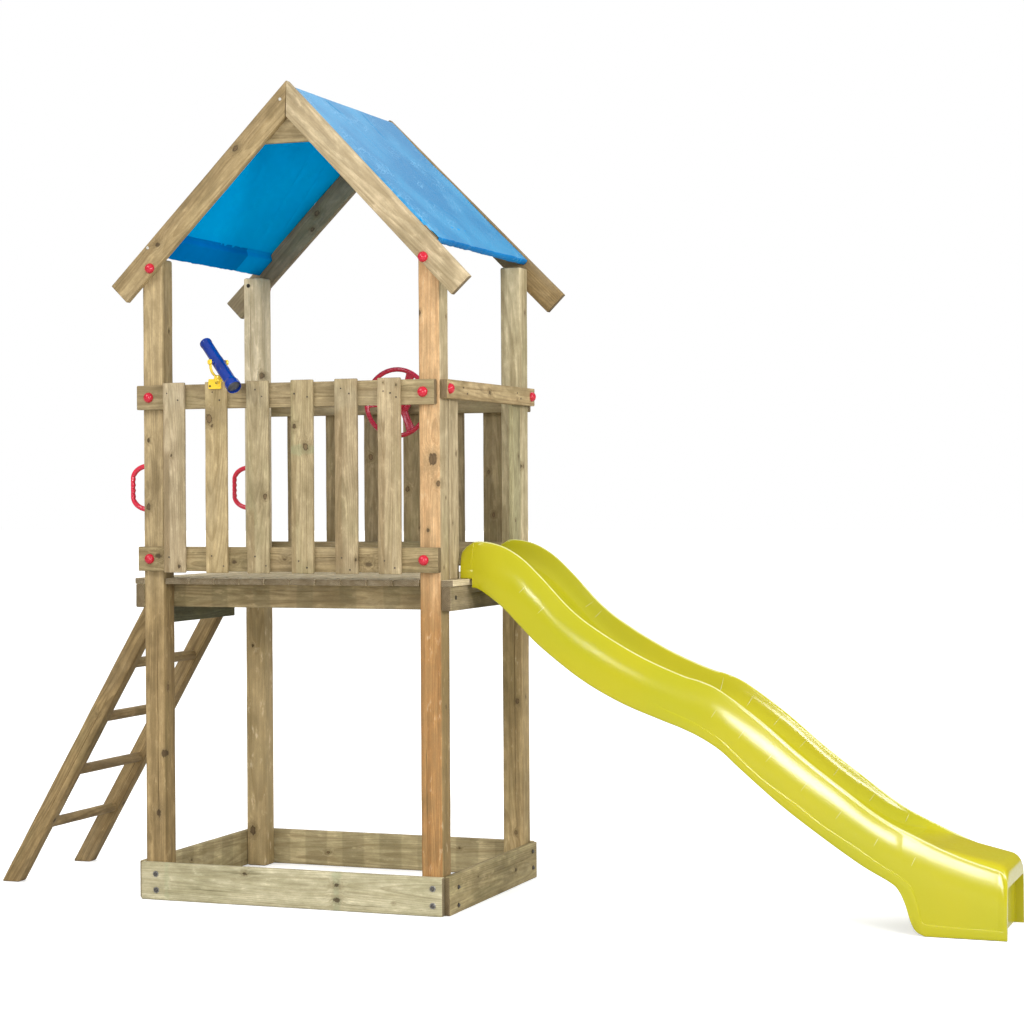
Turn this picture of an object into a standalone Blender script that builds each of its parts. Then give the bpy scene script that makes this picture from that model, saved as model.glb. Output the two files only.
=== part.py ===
"""Wooden play tower: four posts, deck, slatted sides, tarpaulin roof, ladder,
wavy slide, steering wheel, telescope and grab handles.

Units are metres, +Z up.  The tower's own axes are used for every dimension:
x runs along the front face (ladder at -x, slide at +x), y runs from front to
back, z = 0 is the ground.  ORIGIN moves everything so that the world origin
is the middle of the whole object's footprint.
"""
import math

import bmesh
import bpy
import numpy as np
from mathutils import Matrix, Vector

# ------------------------------------------------------------------ dimensions
GAP = 0.0003                 # clearance between pieces that touch
ORIGIN = (0.6198, -0.0621)   # tower x, y that the world origin stands at

HALF_W = 0.600               # tower centre to the posts' outer side faces
HALF_D = 0.457               # tower centre to the posts' outer front faces
POST = 0.083                 # square post section
POST_TOP = 2.390
BASE_H, BASE_T = 0.140, 0.027          # sandbox boards
BASE_HALF = 0.608                      # half length of front and back boards

DECK_TOP = 1.200
DECK_T = 0.022
DECK_X = (-0.639, 0.646)     # the deck overhangs the side joists
PLANK_PITCH = 0.1028
PLANK_GROOVE = 0.005
JOIST_H, JOIST_T = 0.088, 0.037

RAIL_T, RAIL_H = 0.028, 0.091
RAIL_TOP_Z = 1.828           # underside of the top rails
RAIL_LOW_Z = 1.227           # underside of the bottom rails
RAIL_TOP_X = (-0.612, 0.589)
RAIL_LOW_X = (-0.609, 0.601)
SLAT_W, SLAT_T = 0.088, 0.017
SLAT_Z = (1.222, 1.926)
SLAT_FRONT = (-0.449, -0.274, -0.104, 0.075, 0.250, 0.419)   # slat centres
SLAT_BACK = (-0.418, -0.245, -0.075, 0.097, 0.271, 0.442)
SIDE_RAIL_Z = (1.850, 1.919)
SIDE_SLAT_Y = (0.281, 0.369)

RIDGE_X = 0.008              # the roof sits slightly to the slide's side
RAFTER_T = 0.028
# (x, z) corners of each pair of rafters: the peak, the inner corner under it,
# and the outer and inner corner of each lower end
RAFTERS = {
    "front": {"peak": (0.014, 3.018), "inner": (0.008, 2.884),
              "left": ((-0.716, 2.294), (-0.652, 2.230)),
              "right": ((0.726, 2.280), (0.657, 2.216))},
    "back": {"peak": (0.014, 3.010), "inner": (0.008, 2.880),
             "left": ((-0.720, 2.298), (-0.656, 2.232)),
             "right": ((0.749, 2.284), (0.682, 2.217))}}
ROOF_BOLT_Z = 2.354
GUSSET_T, GUSSET_Z = 0.020, 2.796
TARP_T = 0.004
TARP_PLANE = 3.0155          # z + |x| on the tarpaulin's upper face
SLEEVE_L, SLEEVE_T = 0.100, 0.024
EAVE_W, EAVE_T = 0.070, 0.0150

LADDER_SLOPE = 0.59          # x run for each metre of height
LADDER_OUT, LADDER_IN = -1.335, -1.257     # stringer foot, x at z = 0
LADDER_Y = (0.242, 0.294)    # inner and outer side of a stringer
LADDER_TOP = 1.125
RUNG_R = 0.020
RUNG_Z = (0.230, 0.441, 0.652, 0.863)
BATTEN_T = 0.0187
BATTEN_Z = (1.018, 1.138)
BATTEN_HALF = 0.352

SLIDE_MID, SLIDE_HALF = -0.103, 0.197      # y of the centre line, half width
SLIDE_WALL, SLIDE_BED_T = 0.026, 0.022
SLIDE_START, SLIDE_END = 0.611, 2.572
SLIDE_END_R = 0.034
SLIDE_REST = 0.657           # the slide lies on the deck up to this x

HANDLE_Z, HANDLE_SPAN, HANDLE_OUT = 1.538, 0.164, 0.067
HANDLE_R = 0.0095
HANDLE_PLATE = 0.226         # height over both fixing plates

WHEEL = (0.077, 1.872)       # x, z of the steering wheel's axis
WHEEL_R, WHEEL_TUBE = 0.1315, 0.0095
WHEEL_PLANE = 0.372          # y of the rim

PAN = (-0.244, -0.535)       # x, y of the telescope's upright axis
TILT_Z = 1.995
PAN_REST = math.radians(56.2)   # turned from straight ahead towards the slide
TILT_REST = math.radians(38.8)  # lens end below the level
TUBE_LENS, TUBE_EYE = 0.155, 0.123   # pivot to each end of the tube

BOLT_R, BOLT_HOLE_R, CAP_R, CAP_H = 0.004, 0.0045, 0.019, 0.012
BOLT_X = {"rail_left": -0.561, "rail_right": 0.545,
          "roof_left": -0.552, "roof_right": 0.549}
SIDE_BOLT_Y = {"front": -0.432, "back": 0.419}

# ----------------------------------------------------------------- clean start
for old in list(bpy.data.objects):
    bpy.data.objects.remove(old, do_unlink=True)

scene = bpy.context.scene
PARTS = bpy.data.collections.new("play_tower")
CUTTERS = bpy.data.collections.new("cutters")
scene.collection.children.link(PARTS)
scene.collection.children.link(CUTTERS)


# ------------------------------------------------------------------- materials
def material(name, rgb, rough, metal=0.0):
    m = bpy.data.materials.new(name)
    m.use_nodes = True
    b = m.node_tree.nodes["Principled BSDF"]
    b.inputs["Base Color"].default_value = (*rgb, 1.0)
    b.inputs["Roughness"].default_value = rough
    b.inputs["Metallic"].default_value = metal
    m.diffuse_color = (*rgb, 1.0)
    return m


PINE = (0.47, 0.36, 0.20)
PINE_GREEN = (0.42, 0.38, 0.22)
PINE_ORANGE = (0.62, 0.40, 0.19)
PINE_DARK = (0.20, 0.16, 0.09)
BLUE = (0.12, 0.38, 0.68)
YELLOW = (0.62, 0.56, 0.04)
RED = (0.60, 0.02, 0.05)
CRIMSON = (0.42, 0.015, 0.05)
TOY_BLUE = (0.02, 0.05, 0.35)
TOY_YELLOW = (0.85, 0.55, 0.05)
STEEL = (0.55, 0.56, 0.55)


# --------------------------------------------------------------------- helpers
def world(x, y, z):
    return Vector((x - ORIGIN[0], y - ORIGIN[1], z))


def adopt(obj, name, mat, cutter=False):
    """Name the object, give it its material and put it in its collection."""
    obj.name = name
    obj.data.name = name
    for c in list(obj.users_collection):
        c.objects.unlink(obj)
    (CUTTERS if cutter else PARTS).objects.link(obj)
    if cutter:
        obj.hide_render = True
        obj.display_type = "WIRE"
    elif mat is not None:
        obj.data.materials.clear()
        obj.data.materials.append(mat)
    return obj


def apply_scale(obj):
    obj.data.transform(Matrix.Diagonal((*obj.scale, 1.0)))
    obj.scale = (1, 1, 1)


def bevel(obj, width, segments=1):
    m = obj.modifiers.new("rounded_edges", "BEVEL")
    m.width = width
    m.segments = segments
    m.limit_method = "ANGLE"
    m.angle_limit = math.radians(40)
    return m


def block(name, x, y, z, rgb, rough=0.75, edge=0.003, segments=1):
    """A plank or post given by its x, y and z ranges in tower coordinates."""
    mid = [(a + b) / 2 for a, b in (x, y, z)]
    bpy.ops.mesh.primitive_cube_add(size=1.0, location=world(*mid))
    o = bpy.context.active_object
    o.scale = [b - a for a, b in (x, y, z)]
    apply_scale(o)
    adopt(o, name, material(name, rgb, rough))
    if edge:
        bevel(o, edge, segments)
    return o


def outline(name, loops, thickness, rgb, rough=0.75, mid_y=0.0, edge=0.0,
            cutter=False):
    """A flat board: closed outlines in the xz plane, extruded along y."""
    cu = bpy.data.curves.new(name, "CURVE")
    cu.dimensions = "2D"
    cu.fill_mode = "BOTH"
    cu.extrude = thickness / 2
    for pts in loops:
        s = cu.splines.new("POLY")
        s.points.add(len(pts) - 1)
        for p, (u, v) in zip(s.points, pts):
            p.co = (u, v, 0, 1)
        s.use_cyclic_u = True
    o = bpy.data.objects.new(name, cu)
    o.rotation_euler = (math.pi / 2, 0, 0)     # the outline stands up in xz
    o.location = world(0, mid_y, 0)
    scene.collection.objects.link(o)
    o = to_mesh(o)
    adopt(o, name, None if cutter else material(name, rgb, rough), cutter)
    if edge:
        bevel(o, edge)
    return o


def to_mesh(curve_object):
    """The same shape as a welded mesh object, which can be cut and joined."""
    bpy.context.view_layer.update()
    dg = bpy.context.evaluated_depsgraph_get()
    me = bpy.data.meshes.new_from_object(curve_object.evaluated_get(dg))
    bm = bmesh.new()
    bm.from_mesh(me)
    bmesh.ops.remove_doubles(bm, verts=bm.verts, dist=1e-5)
    bmesh.ops.recalc_face_normals(bm, faces=bm.faces)
    bm.to_mesh(me)
    bm.free()
    o = bpy.data.objects.new(curve_object.name, me)
    o.matrix_world = curve_object.matrix_world.copy()
    scene.collection.objects.link(o)
    bpy.data.objects.remove(curve_object, do_unlink=True)
    return o


def rod(name, start, end, radius, rgb=None, rough=0.5, sides=16, cutter=False,
        metal=0.0):
    """A straight round bar between two points in tower coordinates."""
    a, b = world(*start), world(*end)
    bpy.ops.mesh.primitive_cylinder_add(
        vertices=sides, radius=radius, depth=(b - a).length, location=(a + b) / 2)
    o = bpy.context.active_object
    o.rotation_mode = "QUATERNION"
    o.rotation_quaternion = (b - a).to_track_quat("Z", "Y")
    return adopt(o, name, None if cutter else material(name, rgb, rough, metal),
                 cutter)


def turned(name, profile, rgb, rough, sides=24, metal=0.0):
    """A turned piece: (radius, height) pairs from the top down its outer side,
    spun round the object's own Z axis.  Both ends lie on the axis."""
    bm = bmesh.new()
    vs = [bm.verts.new((r, 0, h)) for r, h in profile]
    for p, q in zip(vs, vs[1:]):
        bm.edges.new((p, q))
    me = bpy.data.meshes.new(name)
    bm.to_mesh(me)
    bm.free()
    o = bpy.data.objects.new(name, me)
    scene.collection.objects.link(o)
    m = o.modifiers.new("turned", "SCREW")
    m.steps = m.render_steps = sides
    m.use_merge_vertices = True
    m.merge_threshold = 1e-5
    m.use_smooth_shade = True
    return adopt(o, name, material(name, rgb, rough, metal))


def cut(target, cutter, op="DIFFERENCE"):
    m = target.modifiers.new(op.lower(), "BOOLEAN")
    m.operation = op
    m.object = cutter
    m.solver = "EXACT"
    return m


def keep_as_cutter(obj):
    """A piece that is joined into another one leaves the parts collection."""
    for c in list(obj.users_collection):
        c.objects.unlink(obj)
    CUTTERS.objects.link(obj)
    obj.hide_render = True
    obj.display_type = "WIRE"
    return obj


def smooth_curve(points, n):
    """n points on a Catmull-Rom curve through the given (x, z) points, spaced
    evenly in x."""
    p = np.array(points, float)
    ext = np.vstack([2 * p[0] - p[1], p, 2 * p[-1] - p[-2]])
    out = []
    for i in range(1, len(ext) - 2):
        p0, p1, p2, p3 = ext[i - 1:i + 3]
        for t in np.linspace(0, 1, 12, endpoint=False):
            out.append(0.5 * (2 * p1 + (p2 - p0) * t
                              + (2 * p0 - 5 * p1 + 4 * p2 - p3) * t ** 2
                              + (3 * p1 - p0 - 3 * p2 + p3) * t ** 3))
    out.append(p[-1])
    out = np.array(out)
    return lambda x: float(np.interp(x, out[:, 0], out[:, 1]))


# ----------------------------------------------------------------------- posts
post_colours = {"front_left": PINE, "front_right": PINE_ORANGE,
                "back_left": PINE, "back_right": PINE_GREEN}
posts = {}
for place, rgb in post_colours.items():
    sx = -1 if "left" in place else 1
    sy = -1 if "front" in place else 1
    xs = sorted((sx * HALF_W, sx * (HALF_W - POST)))
    ys = sorted((sy * HALF_D, sy * (HALF_D - POST)))
    posts[place] = block("post_" + place, xs, ys, (0, POST_TOP), rgb,
                         edge=0.006, segments=2)

POST_X = HALF_W - POST / 2
POST_Y = HALF_D - POST / 2

# -------------------------------------------------------------- sandbox boards
for place, sy in (("front", -1), ("back", 1)):
    ys = sorted((sy * (HALF_D + GAP), sy * (HALF_D + GAP + BASE_T)))
    block("base_board_" + place, (-BASE_HALF, BASE_HALF), ys, (0, BASE_H),
          PINE_GREEN, edge=0.004)
for place, sx in (("left", -1), ("right", 1)):
    xs = sorted((sx * (HALF_W + GAP), sx * (HALF_W + GAP + BASE_T)))
    block("base_board_" + place, xs, (-HALF_D, HALF_D), (0, BASE_H),
          PINE_GREEN, edge=0.004)

# ------------------------------------------------------------ joists and deck
JOIST_TOP = DECK_TOP - DECK_T - GAP
for place, sx in (("left", -1), ("right", 1)):
    xs = sorted((sx * (HALF_W + GAP), sx * (HALF_W + JOIST_T)))
    block("joist_" + place, xs, (-HALF_D, HALF_D),
          (JOIST_TOP - JOIST_H, JOIST_TOP), PINE_GREEN, edge=0.004)
for place, sy in (("front", -1), ("back", 1)):
    ys = sorted((sy * (HALF_D - POST - GAP), sy * (HALF_D - POST - JOIST_T)))
    block("joist_" + place, (-HALF_W, HALF_W), ys,
          (JOIST_TOP - JOIST_H, JOIST_TOP), PINE_GREEN, edge=0.004)

# The deck boards lie side by side along y.  Grooves between them leave a thin
# web underneath, so that the boards lift out as one panel.
deck_outline = [(DECK_X[0], DECK_TOP - DECK_T), (DECK_X[1], DECK_TOP - DECK_T),
                (DECK_X[1], DECK_TOP)]
for k in range(5, -6, -1):
    x = k * PLANK_PITCH
    deck_outline += [(x + PLANK_GROOVE / 2, DECK_TOP),
                     (x + PLANK_GROOVE / 2, DECK_TOP - DECK_T + 0.004),
                     (x - PLANK_GROOVE / 2, DECK_TOP - DECK_T + 0.004),
                     (x - PLANK_GROOVE / 2, DECK_TOP)]
deck_outline.append((DECK_X[0], DECK_TOP))
deck = outline("deck_boards", [deck_outline], 2 * HALF_D, PINE, mid_y=0.0)
for place in posts:
    sx = -1 if "left" in place else 1
    sy = -1 if "front" in place else 1
    xs = sorted((sx * (HALF_W + GAP), sx * (HALF_W - POST - GAP)))
    ys = sorted((sy * (HALF_D + 0.05), sy * (HALF_D - POST - GAP)))
    notch = block("deck_notch_" + place, xs, ys, (1.0, 1.4), PINE, edge=0)
    cut(deck, keep_as_cutter(notch))

# ---------------------------------------------------------- front rails, slats
front_y = -HALF_D - GAP
rails = {}
for place, z0 in (("top", RAIL_TOP_Z), ("bottom", RAIL_LOW_Z)):
    span = RAIL_TOP_X if place == "top" else RAIL_LOW_X
    rails[place] = block("front_rail_" + place, span,
                         (front_y - RAIL_T, front_y), (z0, z0 + RAIL_H),
                         PINE_GREEN, edge=0.003)
slat_y = front_y - RAIL_T - GAP
for i, x in enumerate(SLAT_FRONT):
    block("front_slat_%d" % (i + 1), (x - SLAT_W / 2, x + SLAT_W / 2),
          (slat_y - SLAT_T, slat_y), SLAT_Z, PINE, edge=0.003)

# ----------------------------------------------------- back panel, one assembly
back_y = HALF_D + GAP
back_panel = block("back_panel", RAIL_LOW_X, (back_y, back_y + RAIL_T),
                   (RAIL_TOP_Z, RAIL_TOP_Z + RAIL_H), PINE_GREEN, edge=0)
low = block("back_rail_bottom", RAIL_LOW_X, (back_y, back_y + RAIL_T),
            (RAIL_LOW_Z, RAIL_LOW_Z + RAIL_H), PINE_GREEN, edge=0)
slat_union = []
for i, x in enumerate(SLAT_BACK):
    s = block("back_slat_%d" % (i + 1), (x - SLAT_W / 2, x + SLAT_W / 2),
              (back_y + RAIL_T - 0.001, back_y + RAIL_T + SLAT_T), SLAT_Z,
              PINE, edge=0)
    slat_union.append(s)
for s in slat_union:
    cut(back_panel, keep_as_cutter(s), "UNION")
cut(back_panel, keep_as_cutter(low), "UNION")

# ------------------------------------------------------- right side, at slide
side_rail = block("side_rail", (HALF_W + GAP, HALF_W + GAP + RAIL_T),
                  (-HALF_D, HALF_D), SIDE_RAIL_Z, PINE_ORANGE, edge=0.003)
for place, sy in (("front", -1), ("back", 1)):
    ys = sorted((sy * SIDE_SLAT_Y[0], sy * SIDE_SLAT_Y[1]))
    block("side_slat_" + place, (HALF_W - SLAT_T, HALF_W), ys,
          (DECK_TOP + GAP, SIDE_RAIL_Z[1] - 0.012), PINE, edge=0.003)

# ------------------------------------------------------------------------ roof
rafters = {}
root2 = math.sqrt(2)
for place, sy in (("front", -1), ("back", 1)):
    mid_y = sy * (HALF_D + GAP + RAFTER_T / 2)
    for side, sx in (("left", -1), ("right", 1)):
        shape = RAFTERS[place]
        (px, pz), (ix, iz) = shape["peak"], shape["inner"]
        pts = [(px + sx * GAP / 2, pz), shape[side][0], shape[side][1],
               (ix + sx * GAP / 2, iz)]
        if sx > 0:
            pts.reverse()
        rafters[place + "_" + side] = outline(
            "rafter_%s_%s" % (place, side), [pts], RAFTER_T, PINE,
            mid_y=mid_y, edge=0.002)
    g = GUSSET_Z
    lim = TARP_PLANE - 0.023
    pts = [(RIDGE_X + u, z) for u, z in
           ((-(lim - g), g), (lim - g, g), (0.025, lim - 0.025),
            (-0.025, lim - 0.025))]
    outline("gusset_" + place, [pts], GUSSET_T, PINE_GREEN,
            mid_y=sy * (HALF_D - GUSSET_T / 2), edge=0.0015)
block("ridge_batten", (RIDGE_X - 0.014, RIDGE_X + 0.014),
      (-(HALF_D - GUSSET_T - GAP), HALF_D - GUSSET_T - GAP),
      (2.912, 2.974), PINE, edge=0.002)

# Eave battens sit in sleeves along the tarpaulin's lower edges.
fold = (0.594, TARP_PLANE - 0.594)


def sleeve_point(sx, along, inward):
    """A point in the sleeve: along the slope from the eave, and inwards."""
    x = fold[0] - (along + inward) / root2
    z = fold[1] + (along - inward) / root2
    return (RIDGE_X + sx * x, z)


def sleeve_box(sx, a0, a1, n0, n1):
    pts = [sleeve_point(sx, a, n) for a, n in ((a0, n0), (a1, n0), (a1, n1), (a0, n1))]
    return pts if sx > 0 else pts[::-1]


for side, sx in (("left", -1), ("right", 1)):
    outline("eave_batten_" + side,
            [sleeve_box(sx, 0.0048, 0.0048 + EAVE_W, 0.005, 0.005 + EAVE_T)],
            2 * HALF_D - 2 * GAP, PINE, edge=0.001)

ridge_r = 0.030
ridge_top = []
for k in range(5):
    a = math.radians(135 - 22.5 * k)
    ridge_top.append((RIDGE_X + ridge_r * math.cos(a),
                      TARP_PLANE - ridge_r * root2 + ridge_r * math.sin(a)))
ridge_low = []
r2 = ridge_r - TARP_T
for k in range(5):
    a = math.radians(45 + 22.5 * k)
    ridge_low.append((RIDGE_X + r2 * math.cos(a),
                      TARP_PLANE - ridge_r * root2 + r2 * math.sin(a)))
right = [sleeve_point(1, 0, 0), sleeve_point(1, 0, SLEEVE_T),
         sleeve_point(1, SLEEVE_L - 0.012, SLEEVE_T),
         sleeve_point(1, SLEEVE_L, TARP_T)]
left = [(2 * RIDGE_X - x, z) for x, z in reversed(right)]
tarp_outline = ridge_top + right + ridge_low + left
holes = [sleeve_box(sx, 0.004, 0.004 + EAVE_W + 0.0016, 0.0044, 0.0044 + EAVE_T + 0.0012)
         for sx in (1, -1)]
outline("roof_tarp", [tarp_outline] + holes, 2 * (HALF_D - 0.0006), BLUE, 0.45)

# ---------------------------------------------------------------------- ladder
stringer_pts = [
    (LADDER_OUT, 0), (LADDER_IN, 0),
    (-HALF_W - JOIST_T - GAP - BATTEN_T - GAP, 0), (0, 0), (0, LADDER_TOP)]
batten_out = HALF_W + JOIST_T + GAP + BATTEN_T
plumb_x = -(batten_out + GAP)
plumb_z = (plumb_x - LADDER_IN) / LADDER_SLOPE
stringer_pts = [(LADDER_OUT, 0), (LADDER_IN, 0), (plumb_x, plumb_z),
                (plumb_x, LADDER_TOP),
                (LADDER_OUT + LADDER_SLOPE * LADDER_TOP, LADDER_TOP)]
stringers = []
for place, sy in (("front", -1), ("back", 1)):
    st = outline("ladder_stringer_" + place, [stringer_pts],
                 LADDER_Y[1] - LADDER_Y[0], PINE,
                 mid_y=sy * (LADDER_Y[0] + LADDER_Y[1]) / 2, edge=0.005)
    stringers.append(st)
for i, z in enumerate(RUNG_Z):
    x = (LADDER_OUT + LADDER_IN) / 2 + LADDER_SLOPE * z + 0.010
    reach = LADDER_Y[0] + 0.030
    rod("ladder_rung_%d" % (i + 1), (x, -reach, z), (x, reach, z), RUNG_R,
        PINE, 0.7, sides=20)
    socket = rod("rung_socket_%d" % (i + 1), (x, -reach - GAP, z),
                 (x, reach + GAP, z), RUNG_R + 0.0004, sides=20, cutter=True)
    for st in stringers:
        cut(st, socket)
block("ladder_batten", (-batten_out, -(HALF_W + JOIST_T + GAP)),
      (-BATTEN_HALF, BATTEN_HALF), BATTEN_Z, PINE_DARK, edge=0.003)

# ----------------------------------------------------------------------- slide
# Side view: the rim and the lower edge of the side walls follow smooth curves
# with one hump half way down.  bed_depth is how far the bed lies below the rim:
# it comes up to the rim at the run-out and ends slightly above it.
rim_z = smooth_curve([(0.605, 1.292), (0.642, 1.327), (0.686, 1.336),
                      (0.765, 1.320), (0.840, 1.278), (0.916, 1.209),
                      (1.030, 1.093), (1.140, 1.014), (1.290, 0.930),
                      (1.437, 0.868), (1.512, 0.846), (1.584, 0.813),
                      (1.725, 0.714), (1.866, 0.598), (2.006, 0.494),
                      (2.144, 0.396), (2.280, 0.329), (2.415, 0.273),
                      (2.585, 0.222)], 12)
low_z = smooth_curve([(0.663, 1.168), (0.690, 1.158), (0.767, 1.103),
                      (0.843, 1.029), (0.919, 0.957), (1.070, 0.845),
                      (1.219, 0.765), (1.367, 0.708), (1.440, 0.682),
                      (1.512, 0.650), (1.584, 0.606), (1.656, 0.543),
                      (1.798, 0.425), (1.938, 0.324), (2.077, 0.232),
                      (2.178, 0.177), (2.207, 0.150), (2.229, 0.105),
                      (2.248, 0.045), (2.265, 0.016), (2.292, 0.0015)], 12)


bed_depth = smooth_curve([(0.50, 0.094), (1.20, 0.094), (1.90, 0.094),
                          (2.00, 0.088), (2.09, 0.077), (2.17, 0.057),
                          (2.245, 0.032), (2.32, 0.012), (2.36, 0.0),
                          (2.42, -0.008), (2.483, -0.014), (2.580, -0.020)], 12)


def slide_section(x):
    """Corner points of the slide's section at x, as (y offset, z)."""
    a = SLIDE_HALF
    top = rim_z(x)
    bed = top - bed_depth(x)
    r = SLIDE_END_R                      # the foot's upper corner is rounded
    if x > SLIDE_END - r:
        t = (x - (SLIDE_END - r)) / r
        fall = r * (1 - math.sqrt(max(0.0, 1 - t * t)))
        top -= fall
        bed -= fall
    if x < SLIDE_REST:
        low = DECK_TOP + GAP
    elif x < 0.664:
        low = 1.168
    elif x < 2.295:
        low = low_z(x)
    else:
        low = 0.0
    if x > SLIDE_END - 0.055:            # the closed end under the run-out
        under = 0.040
    else:
        under = max(bed - SLIDE_BED_T, low + 0.004)
    w = SLIDE_WALL
    half = [(a - 0.006, low), (a, low + 0.003), (a, top - 0.010),
            (a - 0.008, top), (a - w + 0.004, top - 0.002),
            (a - w - 0.008, bed + (top - bed) * 0.40),
            (a - w - 0.022, bed + (top - bed) * 0.13), (a - w - 0.048, bed)]
    inner = [(a - 0.020, under), (a - 0.016, low)]
    left = [(-y, z) for y, z in half]
    right = [(y, z) for y, z in reversed(half)]
    return left + right + [(inner[1][0], inner[1][1]), (inner[0][0], inner[0][1]),
                           (-inner[0][0], inner[0][1]), (-inner[1][0], inner[1][1])]


def slide_stations():
    xs = [SLIDE_START, 0.628, SLIDE_REST - 0.0002, SLIDE_REST + 0.0004]
    xs += list(np.linspace(0.675, 2.20, 34))
    xs += [2.210, 2.221, 2.232, 2.242, 2.252, 2.268, 2.295]
    xs += list(np.linspace(2.335, SLIDE_END - 0.056, 5))
    xs += [SLIDE_END - 0.054, SLIDE_END - 0.034, SLIDE_END - 0.022,
           SLIDE_END - 0.012, SLIDE_END - 0.005, SLIDE_END - 0.001, SLIDE_END]
    return xs


def loft(name, rings, rgb, rough):
    """Skin between rings with the same number of points, with flat ends."""
    bm = bmesh.new()
    verts = [[bm.verts.new(p) for p in ring] for ring in rings]
    for r0, r1 in zip(verts, verts[1:]):
        n = len(r0)
        for i in range(n):
            bm.faces.new((r0[i], r0[(i + 1) % n], r1[(i + 1) % n], r1[i]))
    bm.faces.new(list(reversed(verts[0])))
    bm.faces.new(verts[-1])
    bmesh.ops.triangulate(bm, faces=[f for f in bm.faces if len(f.verts) > 4])
    bmesh.ops.recalc_face_normals(bm, faces=bm.faces)
    me = bpy.data.meshes.new(name)
    bm.to_mesh(me)
    bm.free()
    o = bpy.data.objects.new(name, me)
    scene.collection.objects.link(o)
    return adopt(o, name, material(name, rgb, rough))


rings = []
for x in slide_stations():
    rings.append([(x - SLIDE_START, y, z) for y, z in slide_section(x)])
slide = loft("slide", rings, YELLOW, 0.25)
slide.location = world(SLIDE_START, SLIDE_MID, 0)
# The end face stands back between the edges of the side walls.
a = SLIDE_HALF - 0.017
recess = block("slide_end_recess", (SLIDE_END - 0.020, SLIDE_END + 0.03),
               (SLIDE_MID - a, SLIDE_MID + a), (-0.02, 0.196), YELLOW, edge=0.008)
cut(slide, keep_as_cutter(recess))

# --------------------------------------------------------------------- handles
for place, sy in (("front", -1), ("back", 1)):
    y = sy * POST_Y
    face = -HALF_W - GAP
    h = HANDLE_SPAN / 2
    path = []
    for k in range(8):                       # a quarter of an ellipse
        t = math.radians(90 * k / 7)
        path.append((face - 0.0005 - (HANDLE_OUT - 0.0005) * math.sin(t),
                     0.034 + (h - 0.034) * math.cos(t)))
    path += [(px, -pz) for px, pz in reversed(path)]
    cu = bpy.data.curves.new("handle", "CURVE")
    cu.dimensions = "3D"
    cu.bevel_depth = HANDLE_R
    cu.bevel_resolution = 2
    cu.use_fill_caps = True
    s = cu.splines.new("POLY")
    s.points.add(len(path) - 1)
    for p, (px, pz) in zip(s.points, path):
        p.co = (px - face, 0, pz, 1)
    o = bpy.data.objects.new("grab_handle_" + place, cu)
    o.location = world(face, y, HANDLE_Z)
    scene.collection.objects.link(o)
    o = to_mesh(o)
    adopt(o, "grab_handle_" + place, material("grab_handle_" + place, RED, 0.3))
    for up in (-1, 1):
        zs = sorted((HANDLE_Z + up * (h - 0.013), HANDLE_Z + up * HANDLE_PLATE / 2))
        plate = block("handle_plate_%s_%s" % (place, "top" if up > 0 else "low"),
                      (face - 0.006, face), (y - 0.015, y + 0.015), zs, RED,
                      edge=0)
        cut(o, keep_as_cutter(plate), "UNION")

# -------------------------------------------------------------- steering wheel
wx, wz = WHEEL
rail_face = HALF_D + GAP            # inner face of the back top rail
spindle = turned("wheel_spindle", [
    (0.0, 0.0785), (0.0115, 0.0785), (0.0125, 0.0775), (0.0125, 0.0735),
    (0.0078, 0.0735), (0.0078, 0.0085), (0.026, 0.0085), (0.027, 0.0075),
    (0.027, 0.0), (0.0, 0.0)], STEEL, 0.35, sides=24, metal=1.0)
spindle.rotation_euler = (math.pi / 2, 0, 0)        # its top points to -y
spindle.location = world(wx, rail_face - GAP, wz)

bpy.ops.mesh.primitive_torus_add(
    major_radius=WHEEL_R, minor_radius=WHEEL_TUBE, major_segments=40,
    minor_segments=10, location=(0, 0, 0))
wheel = bpy.context.active_object
wheel.data.transform(Matrix.Translation((0, 0, rail_face - GAP - WHEEL_PLANE)))
adopt(wheel, "steering_wheel", material("steering_wheel", CRIMSON, 0.3))
wheel.rotation_euler = (math.pi / 2, 0, 0)
wheel.location = world(wx, rail_face - GAP, wz)
hub = rod("wheel_hub", (wx, rail_face - GAP - 0.0092, wz),
          (wx, rail_face - GAP - 0.0728, wz), 0.027, sides=28, cutter=True)
bore = rod("wheel_bore", (wx, rail_face + 0.05, wz),
           (wx, rail_face - 0.15, wz), 0.0083, sides=28, cutter=True)
cut(wheel, hub, "UNION")
hub_front = rail_face - GAP - 0.058
pad = rod("wheel_hub_pad", (wx, hub_front + 0.007, wz),
          (wx, hub_front - 0.007, wz), 0.047, sides=28, cutter=True)
cut(wheel, pad, "UNION")
for k, deg in enumerate((180, 62, -62)):
    a = math.radians(deg)
    # each spoke runs outwards and forwards from the hub to the rim
    inner = Vector((wx + 0.040 * math.cos(a), hub_front, wz + 0.040 * math.sin(a)))
    outer = Vector((wx + WHEEL_R * math.cos(a), WHEEL_PLANE, wz + WHEEL_R * math.sin(a)))
    bpy.ops.mesh.primitive_cube_add(size=1.0, location=(0, 0, 0))
    sp = bpy.context.active_object
    length = (outer - inner).length
    sp.data.transform(Matrix.Diagonal((0.030, 0.011, length, 1)))
    # the spoke widens where it meets the rim
    for v in sp.data.vertices:
        if v.co.z > 0:
            v.co.x *= 1.35
    direction = (outer - inner).normalized()
    side = Vector((0, 1, 0)).cross(direction).normalized()
    up = direction.cross(side)
    rot = Matrix((side, up, direction)).transposed().to_4x4()
    sp.matrix_world = Matrix.Translation(world(*((inner + outer) / 2))) @ rot
    adopt(sp, "wheel_spoke_%d" % (k + 1), None, cutter=True)
    cut(wheel, sp, "UNION")
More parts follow.
